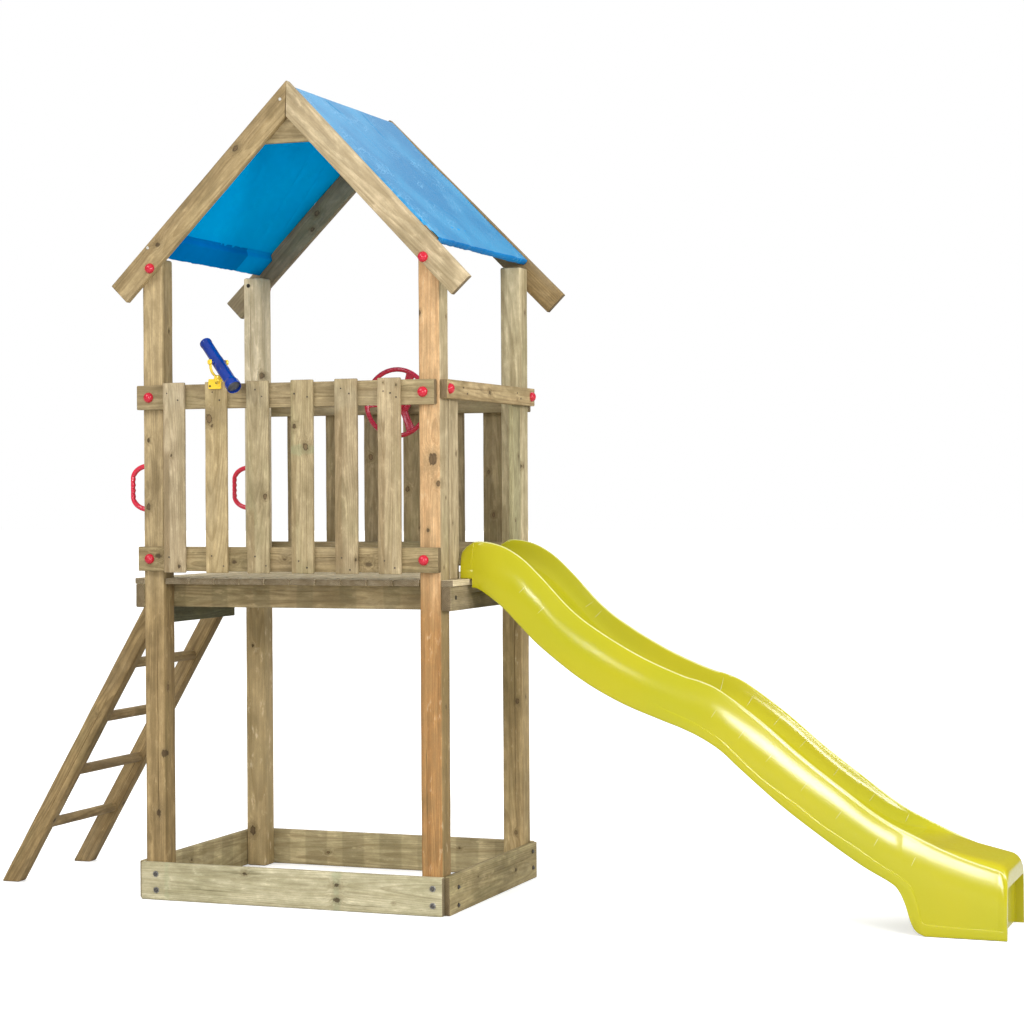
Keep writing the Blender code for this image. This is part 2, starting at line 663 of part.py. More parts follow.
cut(wheel, bore)

# ------------------------------------------------------------------- telescope
px, py = PAN
plate_x = SLAT_FRONT[1]                    # on the second slat
plate_face = slat_y - SLAT_T - GAP
bracket = block("telescope_bracket", (plate_x - 0.025, plate_x + 0.025),
                (plate_face - 0.006, plate_face), (1.899, 1.936), TOY_YELLOW,
                0.35, edge=0)
ledge = block("bracket_ledge", (px - 0.016, plate_x + 0.025),
              (py, plate_face - 0.003), (1.924, 1.936), TOY_YELLOW, edge=0)
cut(bracket, keep_as_cutter(ledge), "UNION")
seat = rod("bracket_seat", (px, py, 1.924), (px, py, 1.936), 0.016, sides=24,
           cutter=True)
cut(bracket, seat, "UNION")
pin = rod("bracket_pin", (px, py, 1.930), (px, py, 1.9465), 0.0038, sides=16,
          cutter=True)
cut(bracket, pin, "UNION")
pin_head = rod("bracket_pin_head", (px, py, 1.9452), (px, py, 1.9480), 0.0065,
               sides=16, cutter=True)
cut(bracket, pin_head, "UNION")

# The fork is a U of flat strip; its origin is on the upright axis.
arm_in, arm_t = 0.0290, 0.005


def fork_side(offset, n=9):
    """Half of the U's edge from its top down to the middle of its foot."""
    half = arm_in + offset
    depth = TILT_Z - 0.012 - (1.9450 - offset)
    pts = [(half, TILT_Z + 0.009)]
    for k in range(n):
        a = math.radians(90.0 * k / (n - 1))
        pts.append((half * math.cos(a), TILT_Z - 0.012 - depth * math.sin(a)))
    return pts


outer_edge = fork_side(arm_t)
inner_edge = fork_side(0.0)
fork_pts = (outer_edge + [(-x, z) for x, z in reversed(outer_edge[:-1])]
            + [(-x, z) for x, z in inner_edge] + list(reversed(inner_edge[:-1])))
fork_pts = list(reversed(fork_pts))
cu = bpy.data.curves.new("telescope_fork", "CURVE")
cu.dimensions = "2D"
cu.fill_mode = "BOTH"
cu.extrude = 0.007
s = cu.splines.new("POLY")
s.points.add(len(fork_pts) - 1)
for p, (u, v) in zip(s.points, fork_pts):
    p.co = (u, v, 0, 1)
s.use_cyclic_u = True
fork = bpy.data.objects.new("telescope_fork", cu)
fork.rotation_euler = (math.pi / 2, 0, PAN_REST)
fork.location = world(px, py, 0)
scene.collection.objects.link(fork)
fork = to_mesh(fork)
adopt(fork, "telescope_fork", material("telescope_fork", TOY_YELLOW, 0.35))
foot = rod("fork_foot", (px, py, 1.936 + GAP), (px, py, 1.9448), 0.0150,
           sides=24, cutter=True)
cut(fork, foot, "UNION")
pivot_hole = rod("fork_pin_hole", (px, py, 1.90), (px, py, 1.9449), 0.0042,
                 sides=16, cutter=True)
head_room = rod("fork_head_room", (px, py, 1.9449), (px, py, 1.9600), 0.0070,
                sides=16, cutter=True)
cut(fork, pivot_hole)
cut(fork, head_room)
pivot = Vector((math.cos(PAN_REST), math.sin(PAN_REST), 0))   # tilt axis
c = Vector((px, py, TILT_Z))
for k in (-1, 1):
    knob = rod("fork_knob_%d" % k, c + pivot * k * (arm_in + 0.001),
               c + pivot * k * (arm_in + arm_t + 0.006), 0.0100, sides=20,
               cutter=True)
    cut(fork, knob, "UNION")
eye = rod("fork_eyes", c - pivot * 0.06, c + pivot * 0.06, 0.0041, sides=16,
          cutter=True)
cut(fork, eye)

tube = turned("telescope_tube", [
    (0.0, TUBE_LENS - 0.012), (0.0245, TUBE_LENS - 0.012),
    (0.0245, TUBE_LENS), (0.0272, TUBE_LENS), (0.0275, TUBE_LENS - 0.026),
    (0.0226, TUBE_LENS - 0.042), (0.0226, -0.012), (0.0214, -0.013),
    (0.0214, -TUBE_EYE + 0.012), (0.0228, -TUBE_EYE + 0.010),
    (0.0228, -TUBE_EYE), (0.0110, -TUBE_EYE), (0.0110, -TUBE_EYE + 0.008),
    (0.0, -TUBE_EYE + 0.008)], TOY_BLUE, 0.3, sides=24)
aim = Vector((math.sin(PAN_REST) * math.cos(TILT_REST),
              -math.cos(PAN_REST) * math.cos(TILT_REST), -math.sin(TILT_REST)))
tube.rotation_mode = "QUATERNION"
tube.rotation_quaternion = aim.to_track_quat("Z", "Y")
tube.location = world(px, py, TILT_Z)
bosses = rod("tube_bosses", c - pivot * 0.0282, c + pivot * 0.0282, 0.0085,
             sides=20, cutter=True)
pins = rod("tube_pins", c - pivot * 0.0412, c + pivot * 0.0412, 0.0036,
           sides=16, cutter=True)
cut(tube, bosses, "UNION")
cut(tube, pins, "UNION")

# ----------------------------------------------------------------------- bolts
# Coach bolts with a domed plastic cap run through rail or rafter and post.
head_profile = [(0.0, CAP_H)]
for k in range(1, 6):
    a = math.radians(90 - 18 * k)
    head_profile.append((CAP_R * math.cos(a), 0.002 + (CAP_H - 0.002) * math.sin(a)))
head_profile += [(CAP_R, 0.0), (BOLT_R, 0.0)]


def bolt(name, axis, x, y, z, through):
    """axis is the outward direction of the capped end; x, y, z is the point
    on the outer wooden face."""
    prof = head_profile + [(BOLT_R, -through), (0.0, -through)]
    o = turned(name, prof, RED, 0.25, sides=16)
    d = Vector(axis)
    o.rotation_mode = "QUATERNION"
    o.rotation_quaternion = d.to_track_quat("Z", "Y")
    o.location = world(x, y, z) + d * GAP
    a = Vector((x, y, z)) + d * 0.01
    b = Vector((x, y, z)) - d * (through + 0.004)
    return rod(name + "_hole", a, b, BOLT_HOLE_R, sides=12, cutter=True)


THROUGH = RAIL_T + 0.060
for side, sx in (("left", -1), ("right", 1)):
    post = posts["front_" + side]
    for place, z in (("top", RAIL_TOP_Z + RAIL_H / 2), ("bottom", RAIL_LOW_Z + RAIL_H / 2)):
        hole = bolt("rail_bolt_%s_%s" % (place, side), (0, -1, 0),
                    BOLT_X["rail_" + side], front_y - RAIL_T, z, THROUGH)
        cut(rails[place], hole)
        cut(post, hole)
    hole = bolt("roof_bolt_front_" + side, (0, -1, 0), BOLT_X["roof_" + side],
                -HALF_D - GAP - RAFTER_T, ROOF_BOLT_Z, THROUGH)
    cut(rafters["front_" + side], hole)
    cut(post, hole)
    hole = bolt("roof_bolt_back_" + side, (0, 1, 0), BOLT_X["roof_" + side],
                HALF_D + GAP + RAFTER_T, ROOF_BOLT_Z, THROUGH)
    cut(rafters["back_" + side], hole)
    cut(posts["back_" + side], hole)
for place, sy in (("front", -1), ("back", 1)):
    hole = bolt("side_bolt_" + place, (1, 0, 0), HALF_W + GAP + RAIL_T,
                SIDE_BOLT_Y[place], sum(SIDE_RAIL_Z) / 2 + 0.001, THROUGH)
    cut(side_rail, hole)
    cut(posts[place + "_right"], hole)
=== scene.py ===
"""Looks of the wooden play tower: weathered pine boards, tarpaulin roof, moulded
slide, handles, steering wheel, telescope and fixings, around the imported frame.

Lengths are metres.  T() turns the tower's own coordinates (x along the front,
y from front to back, z up, origin under the middle of the four posts) into the
frame's.
"""

import math

import bmesh
import bpy
import numpy as np
from mathutils import Matrix, Vector, noise


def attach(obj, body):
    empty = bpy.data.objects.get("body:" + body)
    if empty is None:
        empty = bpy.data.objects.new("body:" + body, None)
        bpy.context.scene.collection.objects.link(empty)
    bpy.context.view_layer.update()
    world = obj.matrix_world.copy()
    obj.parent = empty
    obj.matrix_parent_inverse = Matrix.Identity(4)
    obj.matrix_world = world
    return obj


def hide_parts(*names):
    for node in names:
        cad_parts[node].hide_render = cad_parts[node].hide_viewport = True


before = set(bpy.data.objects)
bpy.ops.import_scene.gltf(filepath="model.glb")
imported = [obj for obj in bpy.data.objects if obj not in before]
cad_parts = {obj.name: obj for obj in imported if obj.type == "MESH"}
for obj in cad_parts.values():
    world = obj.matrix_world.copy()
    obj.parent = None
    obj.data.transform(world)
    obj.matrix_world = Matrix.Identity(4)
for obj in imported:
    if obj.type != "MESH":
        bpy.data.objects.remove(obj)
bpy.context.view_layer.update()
scene = bpy.context.scene

ORIGIN = (0.6198, -0.0621)
HALF_W, HALF_D, POST, POST_TOP = 0.600, 0.457, 0.083, 2.390
GAP = 0.0003
AMBIENT = 0.90
root2 = math.sqrt(2)


def T(x, y, z):
    return Vector((x - ORIGIN[0], y - ORIGIN[1], z))


# ---------------------------------------------------------------- node helpers
def node(t, kind, props=None, ins=None):
    n = t.nodes.new("ShaderNode" + kind)
    for k, v in (props or {}).items():
        setattr(n, k, v)
    for k, v in (ins or {}).items():
        s = n.inputs[k]
        if isinstance(v, bpy.types.NodeSocket):
            t.links.new(v, s)
        else:
            s.default_value = v
    return n


def calc(t, op, a, b=None, c=None, clamp=False):
    ins = {0: a}
    if b is not None:
        ins[1] = b
    if c is not None:
        ins[2] = c
    return node(t, "Math", {"operation": op, "use_clamp": clamp}, ins).outputs[0]


def vcalc(t, op, a, b=None, scale=None):
    ins = {0: a}
    if b is not None:
        ins[1] = b
    if scale is not None:
        ins["Scale"] = scale
    n = node(t, "VectorMath", {"operation": op}, ins)
    return n.outputs["Value" if op in ("DOT_PRODUCT", "LENGTH", "DISTANCE") else "Vector"]


def mix(t, fac, a, b, blend="MIX"):
    n = node(t, "Mix", {"data_type": "RGBA", "blend_type": blend})
    for i, v in ((0, fac), (6, a), (7, b)):
        s = n.inputs[i]
        if isinstance(v, bpy.types.NodeSocket):
            t.links.new(v, s)
        elif i:
            s.default_value = (*v, 1.0)
        else:
            s.default_value = v
    return n.outputs[2]


def mix_value(t, fac, a, b):
    return node(t, "Mix", {"data_type": "FLOAT"}, {0: fac, 2: a, 3: b}).outputs[0]


def smooth(t, value, lo, hi, out_lo=0.0, out_hi=1.0):
    return node(t, "MapRange", {"interpolation_type": "SMOOTHSTEP"},
                {0: value, 1: lo, 2: hi, 3: out_lo, 4: out_hi}).outputs[0]


def noise_of(t, vector, scale, detail=2.0, rough=0.5):
    n = node(t, "TexNoise", {}, {"Vector": vector, "Scale": scale,
                                 "Detail": detail, "Roughness": rough})
    return n.outputs["Fac"], n.outputs["Color"]


def new_material(name):
    m = bpy.data.materials.new(name)
    m.use_nodes = True
    t = m.node_tree
    b = t.nodes["Principled BSDF"]
    return m, t, b


def bump(t, b, height, distance, strength=1.0):
    n = node(t, "Bump", {}, {"Strength": strength, "Distance": distance,
                             "Height": height})
    t.links.new(n.outputs[0], b.inputs["Normal"])


# ------------------------------------------------------------------ wood group
def make_grain_group():
    """Growth rings, fibres and blotches of a sawn board.  P is (across, through,
    along) in metres, Push bends the rings round knots."""
    g = bpy.data.node_groups.new("grain", "ShaderNodeTree")
    for n, kind in (("P", "Vector"), ("Seed", "Float"), ("PithX", "Float"),
                    ("PithY", "Float"), ("Rings", "Float"), ("Push", "Float"),
                    ("Tilt", "Float")):
        g.interface.new_socket(n, in_out="INPUT", socket_type="NodeSocket" + kind)
    for n in ("Ring", "Fibre", "Blotch", "Streak", "Speck", "Mottle", "Pore"):
        g.interface.new_socket(n, in_out="OUTPUT", socket_type="NodeSocketFloat")
    gi = g.nodes.new("NodeGroupInput")
    go = g.nodes.new("NodeGroupOutput")
    P, seed = gi.outputs["P"], gi.outputs["Seed"]
    off = node(g, "CombineXYZ", {}, {0: calc(g, "MULTIPLY", seed, 3.17),
                                     1: calc(g, "MULTIPLY", seed, 1.93),
                                     2: calc(g, "MULTIPLY", seed, 7.41)}).outputs[0]
    Ps = vcalc(g, "ADD", P, off)
    _, wav = noise_of(g, vcalc(g, "MULTIPLY", Ps, (3.0, 3.0, 1.1)), 1.0, 2.0)
    wav = vcalc(g, "SCALE", vcalc(g, "SUBTRACT", wav, (0.5, 0.5, 0.5)), scale=0.05)
    sep = node(g, "SeparateXYZ", {}, {0: P})
    wsep = node(g, "SeparateXYZ", {}, {0: wav})
    x = calc(g, "ADD", calc(g, "SUBTRACT", sep.outputs[0], gi.outputs["PithX"]),
             wsep.outputs[0])
    y = calc(g, "ADD", calc(g, "SUBTRACT", sep.outputs[1], gi.outputs["PithY"]),
             wsep.outputs[1])
    y = calc(g, "ADD", y, calc(g, "MULTIPLY", sep.outputs[2], gi.outputs["Tilt"]))
    r = calc(g, "SQRT", calc(g, "ADD", calc(g, "MULTIPLY", x, x),
                             calc(g, "MULTIPLY", y, y)))
    r = calc(g, "ADD", r, gi.outputs["Push"])
    vary, _ = noise_of(g, vcalc(g, "MULTIPLY", Ps, (30.0, 30.0, 2.0)), 1.0, 1.0)
    phase = calc(g, "ADD", calc(g, "MULTIPLY", r, gi.outputs["Rings"]),
                 calc(g, "MULTIPLY", vary, 1.1))
    saw = calc(g, "FRACT", phase)
    late = calc(g, "MULTIPLY", smooth(g, saw, 0.25, 0.85),
                smooth(g, saw, 1.0, 0.90))
    which = node(g, "TexWhiteNoise", {"noise_dimensions": "1D"},
                 {"W": calc(g, "FLOOR", phase)}).outputs["Value"]
    late = calc(g, "MULTIPLY", late, calc(g, "MULTIPLY_ADD", which, 0.7, 0.3))
    fib, _ = noise_of(g, vcalc(g, "MULTIPLY", Ps, (300.0, 300.0, 7.0)), 1.0, 3.0, 0.6)
    st, _ = noise_of(g, vcalc(g, "MULTIPLY", Ps, (42.0, 42.0, 1.3)), 1.0, 2.0)
    bl, _ = noise_of(g, vcalc(g, "MULTIPLY", Ps, (9.0, 9.0, 2.6)), 1.0, 3.0, 0.55)
    sp, _ = noise_of(g, vcalc(g, "MULTIPLY", Ps, (190.0, 190.0, 45.0)), 1.0, 2.0)
    mo, _ = noise_of(g, vcalc(g, "MULTIPLY", Ps, (46.0, 46.0, 17.0)), 1.0, 4.0, 0.62)
    po, _ = noise_of(g, vcalc(g, "MULTIPLY", Ps, (520.0, 520.0, 130.0)), 1.0, 2.0, 0.6)
    for n, v in (("Ring", late), ("Fibre", fib), ("Streak", st), ("Blotch", bl),
                 ("Speck", sp), ("Mottle", mo), ("Pore", po)):
        g.links.new(v, go.inputs[n])
    return g


def make_knot_group():
    g = bpy.data.node_groups.new("knot", "ShaderNodeTree")
    for n, kind in (("P", "Vector"), ("Centre", "Vector"), ("Mask", "Vector"),
                    ("R", "Float"), ("Seed", "Float")):
        g.interface.new_socket(n, in_out="INPUT", socket_type="NodeSocket" + kind)
    for n in ("Core", "Halo", "Push", "Eye"):
        g.interface.new_socket(n, in_out="OUTPUT", socket_type="NodeSocketFloat")
    gi = g.nodes.new("NodeGroupInput")
    go = g.nodes.new("NodeGroupOutput")
    d = vcalc(g, "MULTIPLY", vcalc(g, "SUBTRACT", gi.outputs["P"], gi.outputs["Centre"]),
              gi.outputs["Mask"])
    far = vcalc(g, "LENGTH", d)
    inv = calc(g, "DIVIDE", 1.0, gi.outputs["R"])
    q = vcalc(g, "SCALE", d, scale=inv)
    q = vcalc(g, "ADD", q, node(g, "CombineXYZ", {}, {0: gi.outputs["Seed"],
                                                     1: gi.outputs["Seed"]}).outputs[0])
    wob, _ = noise_of(g, q, 1.1, 3.0, 0.6)
    x = calc(g, "MULTIPLY", far, inv)
    x = calc(g, "MULTIPLY", x, calc(g, "MULTIPLY_ADD", wob, 1.1, 0.50))
    jag, _ = noise_of(g, q, 3.4, 2.0, 0.6)
    x = calc(g, "ADD", x, calc(g, "MULTIPLY", calc(g, "SUBTRACT", jag, 0.5), 0.75))
    core = smooth(g, x, 1.05, 0.55)
    halo = smooth(g, x, 2.7, 0.9)
    eye = calc(g, "MULTIPLY", smooth(g, x, 0.42, 0.16), 1.0)
    push = calc(g, "EXPONENT", calc(g, "MULTIPLY", calc(g, "MULTIPLY", x, x), -0.28))
    push = calc(g, "MULTIPLY", push, calc(g, "MULTIPLY", gi.outputs["R"], 1.5))
    for n, v in (("Core", core), ("Halo", halo), ("Push", push), ("Eye", eye)):
        g.links.new(v, go.inputs[n])
    return g


GRAIN = make_grain_group()
KNOT = make_knot_group()

# colours of treated pine, linear
LIGHT = (0.62, 0.485, 0.285)
MID = (0.47, 0.350, 0.185)
BROWN = (0.33, 0.225, 0.105)
GREEN = (0.215, 0.200, 0.092)
GREY = (0.330, 0.285, 0.190)
KNOT_RGB = (0.105, 0.062, 0.027)
HALO_RGB = (0.175, 0.125, 0.055)


def wood(name, centre, along, across, seed, light=LIGHT, dark=MID, green=0.3,
         grey=0.25, streak=0.5, ring=0.5, knots=(), pith=None, rings=170.0,
         tilt=0.03, band=None, bars=None, pitch=None, rough=0.72, face=None,
         shade=1.0, ends=(0.130, 0.088, 0.044), patches=(), low=None, pith_thick=False,
         spec=0.30):
    """Material of one board.  centre, along and across are in the frame's axes.
    knots: (across, along, radius, kind, direction) in board coordinates."""
    m, t, b = new_material(name)
    light = (light[0] * 0.74, light[1] * 0.73, light[2] * 0.70)
    dark = (dark[0] * 0.42, dark[1] * 0.39, dark[2] * 0.33)
    if face:
        face = ([c * 0.78 for c in face[0]], [c * 0.56 for c in face[1]])
    rnd = np.random.RandomState(int(seed * 97) % 100000)
    A, B = Vector(along).normalized(), Vector(across).normalized()
    N = A.cross(B).normalized()
    P = node(t, "TexCoord").outputs["Object"]
    P = vcalc(t, "SUBTRACT", P, tuple(centre))
    v = vcalc(t, "DOT_PRODUCT", P, tuple(B))
    w = vcalc(t, "DOT_PRODUCT", P, tuple(N))
    u = vcalc(t, "DOT_PRODUCT", P, tuple(A))
    seed_value = float(seed)
    if pitch:                        # several boards side by side
        cell = calc(t, "FLOOR", calc(t, "DIVIDE", v, pitch))
        v = calc(t, "SUBTRACT", v, calc(t, "MULTIPLY", calc(t, "ADD", cell, 0.5), pitch))
        seed_value = calc(t, "MULTIPLY_ADD", cell, 1.37, float(seed))
    V = node(t, "CombineXYZ", {}, {0: v, 1: w, 2: u}).outputs[0]
    if pith is None:
        pith = (float(rnd.uniform(-0.03, 0.03)), float(rnd.choice((-1, 1)) * rnd.uniform(0.03, 0.075)))
    deep = 0.0415 if pith_thick else 0.0
    core = halo = push = None
    for i, k in enumerate(knots):
        kv, ku, r = k[0], k[1], k[2]
        side = len(k) > 3 and k[3] == "side"
        kn = t.nodes.new("ShaderNodeGroup")
        kn.node_tree = KNOT
        kn.inputs["Centre"].default_value = (deep, kv, ku) if side else (kv, -deep, ku)
        kn.inputs["Mask"].default_value = (0.35, 1, 0.72) if side else (1, 0.35, 0.72)
        kn.inputs["R"].default_value = r
        kn.inputs["Seed"].default_value = seed + i * 2.3
        t.links.new(V, kn.inputs["P"])
        weak = k[4] if len(k) > 4 else 1.0
        c1 = calc(t, "MULTIPLY", kn.outputs["Core"], weak)
        h1 = calc(t, "MULTIPLY", kn.outputs["Halo"], 0.35 + 0.65 * weak)
        core = c1 if core is None else calc(t, "MAXIMUM", core, c1)
        halo = h1 if halo is None else calc(t, "MAXIMUM", halo, h1)
        push = (kn.outputs["Push"] if push is None
                else calc(t, "ADD", push, kn.outputs["Push"]))
    gr = t.nodes.new("ShaderNodeGroup")
    gr.node_tree = GRAIN
    for k, x in (("P", V), ("Seed", seed_value), ("PithX", pith[0]), ("PithY", pith[1]),
                 ("Rings", rings), ("Tilt", float(tilt * rnd.choice((-1, 1)))),
                 ("Push", push if push is not None else 0.0)):
        if isinstance(x, bpy.types.NodeSocket):
            t.links.new(x, gr.inputs[k])
        else:
            gr.inputs[k].default_value = x
    R, F, Bl, St, Sp, Mo, Po = (gr.outputs[k] for k in (
        "Ring", "Fibre", "Blotch", "Streak", "Speck", "Mottle", "Pore"))
    show = ring if halo is None else calc(t, "MULTIPLY_ADD", halo, 0.45, ring)
    col = mix(t, calc(t, "MULTIPLY", R, show), light, dark)
    col = mix(t, calc(t, "MULTIPLY", smooth(t, St, 0.42, 0.66), streak), col, dark)
    col = mix(t, calc(t, "MULTIPLY", smooth(t, Bl, 0.45, 0.70), green), col,
              [c * shade for c in GREEN])
    col = mix(t, calc(t, "MULTIPLY", smooth(t, Bl, 0.50, 0.25), grey), col,
              [c * shade for c in GREY])
    if face:                         # the face towards -y has its own tone
        nrm = node(t, "NewGeometry").outputs["Normal"]
        toward = smooth(t, vcalc(t, "DOT_PRODUCT", nrm, (0.0, -1.0, 0.0)), 0.55, 0.8)
        f0 = mix(t, calc(t, "MULTIPLY", R, 0.55), face[0], face[1])
        f0 = mix(t, calc(t, "MULTIPLY", smooth(t, St, 0.40, 0.68), 0.6), f0, face[1])
        col = mix(t, toward, col, f0)
    if band:                         # darker heartwood to one side of v0
        edge = calc(t, "ADD", v, calc(t, "MULTIPLY", calc(t, "SUBTRACT", Bl, 0.5), 0.030))
        side_of = smooth(t, edge, band[0] + 0.004, band[0] - 0.004)
        if band[1] < 0:
            side_of = calc(t, "SUBTRACT", 1.0, side_of)
        if len(band) > 2:
            side_of = calc(t, "MULTIPLY", side_of,
                           calc(t, "MULTIPLY", smooth(t, u, band[2] - 0.02, band[2] + 0.02),
                                smooth(t, u, band[3] + 0.02, band[3] - 0.02)))
        col = mix(t, calc(t, "MULTIPLY", side_of, abs(band[1])), col,
                  (BROWN[0] * 0.62, BROWN[1] * 0.60, BROWN[2] * 0.56), "MIX")
    # long weathered stains that darken one stretch of the board
    wide = node(t, "CombineXYZ", {}, {0: calc(t, "MULTIPLY", v, 5.0), 1: seed * 1.7,
                                      2: calc(t, "MULTIPLY", u, 2.3)}).outputs[0]
    stain, _ = noise_of(t, wide, 1.6, 3.0, 0.6)
    col = mix(t, calc(t, "MULTIPLY", smooth(t, stain, 0.50, 0.68), 0.45), col,
              (dark[0] * 0.80, dark[1] * 0.86, dark[2] * 0.88))
    for pu, half_len, amount, rgb in patches:    # stains along the board
        d = calc(t, "ABSOLUTE", calc(t, "SUBTRACT", u, pu))
        d = calc(t, "ADD", d, calc(t, "MULTIPLY", calc(t, "SUBTRACT", St, 0.5), half_len * 1.6))
        p = smooth(t, d, half_len, half_len * 0.35)
        col = mix(t, calc(t, "MULTIPLY", p, amount), col, rgb)
    if bars:                         # evenly spaced darker bands across the board
        step, width, amount, start = bars
        ph = calc(t, "FRACT", calc(t, "DIVIDE", calc(t, "SUBTRACT", u, start), step))
        ph = calc(t, "ADD", ph, calc(t, "MULTIPLY", calc(t, "SUBTRACT", Bl, 0.5), 0.10))
        p = calc(t, "MULTIPLY", smooth(t, ph, 0.02, 0.08),
                 smooth(t, ph, width + 0.04, width - 0.02))
        col = mix(t, calc(t, "MULTIPLY", p, amount), col, (0.14, 0.115, 0.055))
    if low:                          # painted shade: darker and browner below a height, standing in for the dimmer light low down
        z = node(t, "SeparateXYZ", {}, {0: node(t, "TexCoord").outputs["Object"]}).outputs[2]
        z = calc(t, "ADD", z, calc(t, "MULTIPLY", calc(t, "SUBTRACT", Bl, 0.5), 0.5))
        under = smooth(t, z, low[0] + 0.22, low[0] - 0.22)
        painted_low_shade_col = mix(t, 1.0, col, low[1], "MULTIPLY")
        col = mix(t, under, col, painted_low_shade_col)
    # cloudy patches, where the surface is rougher or more weathered
    cloud = smooth(t, Mo, 0.34, 0.66)
    col = mix(t, calc(t, "MULTIPLY", calc(t, "SUBTRACT", 1.0, cloud), 0.34), col,
              (dark[0] * 0.80, dark[1] * 0.82, dark[2] * 0.80))
    col = mix(t, calc(t, "MULTIPLY", smooth(t, Mo, 0.58, 0.74), 0.42), col,
              (min(light[0] * 1.28, 1), min(light[1] * 1.28, 1), min(light[2] * 1.32, 1)))
    fine = calc(t, "MULTIPLY_ADD", F, 0.66, 0.50)
    fine = calc(t, "ADD", fine, calc(t, "MULTIPLY", Po, 0.42))
    col = mix(t, 1.0, col, node(t, "CombineColor", {}, {0: fine, 1: fine, 2: fine}).outputs[0],
              "MULTIPLY")
    col = mix(t, calc(t, "MULTIPLY", smooth(t, Sp, 0.70, 0.82), 0.5), col,
              (0.17, 0.11, 0.05))
    if core is not None:
        col = mix(t, calc(t, "MULTIPLY", halo, 0.55), col, HALO_RGB)
        knot_col = mix(t, smooth(t, F, 0.35, 0.65), KNOT_RGB, [c * 1.9 for c in KNOT_RGB])
        col = mix(t, calc(t, "MULTIPLY", core, 0.70), col, knot_col)
        rim = calc(t, "MULTIPLY", calc(t, "MULTIPLY", core, calc(t, "SUBTRACT", 1.0, core)), 3.6)
        col = mix(t, calc(t, "MULTIPLY", rim, 0.85), col, [c * 0.40 for c in KNOT_RGB])
    nrm = node(t, "NewGeometry").outputs["Normal"]
    endness = calc(t, "ABSOLUTE", vcalc(t, "DOT_PRODUCT", nrm, tuple(A)))
    on_end = smooth(t, endness, 0.62, 0.80)
    end_col = mix(t, R, ends, [c * 0.55 for c in ends])
    col = mix(t, calc(t, "MULTIPLY", on_end, 0.75), col, end_col)
    t.links.new(col, b.inputs["Base Color"])
    t.links.new(smooth(t, F, 0.2, 0.8, rough - 0.08, rough + 0.10), b.inputs["Roughness"])
    b.inputs["Specular IOR Level"].default_value = spec
    h = calc(t, "ADD", calc(t, "MULTIPLY", F, 0.6), calc(t, "MULTIPLY", R, 0.4))
    if core is not None:
        h = calc(t, "SUBTRACT", h, calc(t, "MULTIPLY", core, 0.8))
    bump(t, b, h, 0.0006, 0.7)
    return m


# ---------------------------------------------------------------- mesh helpers
def finish_object(name, bm, mats, body, nodes=(), flat_angle=None):
    me = bpy.data.meshes.new(name)
    bm.to_mesh(me)
    bm.free()
    o = bpy.data.objects.new(name, me)
    scene.collection.objects.link(o)
    for m in (mats if isinstance(mats, (list, tuple)) else [mats]):
        me.materials.append(m)
    me.polygons.foreach_set("use_smooth", [True] * len(me.polygons))
    if flat_angle is not None:
        me.set_sharp_from_angle(angle=math.radians(flat_angle))
    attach(o, body)
    if nodes:
        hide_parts(*nodes)
    return o


def bm_loft(bm, rings, closed=True, cap=True, mat=0):
    """Skin between rings of points; each ring is a list of Vectors."""
    vs = [[bm.verts.new(p) for p in ring] for ring in rings]
    n = len(rings[0])
    for r0, r1 in zip(vs, vs[1:]):
        for i in range(n if closed else n - 1):
            j = (i + 1) % n
            f = bm.faces.new((r0[i], r0[j], r1[j], r1[i]))
            f.material_index = mat
    if cap:
        for ring, flip in ((vs[0], True), (vs[-1], False)):
            c = bm.verts.new(sum((v.co for v in ring), Vector()) / n)
            for i in range(n):
                j = (i + 1) % n
                f = bm.faces.new((ring[j], ring[i], c) if flip else (ring[i], ring[j], c))
                f.material_index = mat
    return vs


def sweep(bm, points, radius, sides=20, closed=False, mat=0, squash=None):
    """A tube along points.  radius is a number or a list, one for each point."""
    pts = [Vector(p) for p in points]
    n = len(pts)
    rad = [float(r) for r in (radius if hasattr(radius, "__len__") else [radius] * n)]
    tang = []
    for i in range(n):
        a = pts[(i - 1) % n] if closed or i else pts[i]
        c = pts[(i + 1) % n] if closed or i < n - 1 else pts[i]
        tang.append((c - a).normalized())
    up = Vector((0, 0, 1)) if abs(tang[0].z) < 0.9 else Vector((0, 1, 0))
    s = (up - tang[0] * up.dot(tang[0])).normalized()
    rings = []
    for i in range(n):
        s = (s - tang[i] * s.dot(tang[i])).normalized()
        q = tang[i].cross(s)
        ring = []
        for k in range(sides):
            a = 2 * math.pi * k / sides
            ka, kb = (squash or (1, 1))
            ring.append(pts[i] + rad[i] * (s * math.cos(a) * ka + q * math.sin(a) * kb))
        rings.append(ring)
    if closed:
        rings.append(rings[0])
        vs = bm_loft(bm, rings, cap=False, mat=mat)
        bmesh.ops.remove_doubles(bm, verts=vs[0] + vs[-1], dist=1e-7)
    else:
        bm_loft(bm, rings, mat=mat)


def lathe(bm, profile, origin, axis, sides=40, mat=0):
    """Profile is (radius, height) from one end of the axis to the other."""
    d = Vector(axis).normalized()
    s = d.orthogonal().normalized()
    q = d.cross(s)
    o = Vector(origin)
    rings = []
    for r, h in profile:
        r = max(r, 1e-5)
        rings.append([o + d * h + r * (s * math.cos(2 * math.pi * k / sides)
                                       + q * math.sin(2 * math.pi * k / sides))
                      for k in range(sides)])
    bm_loft(bm, rings, mat=mat)


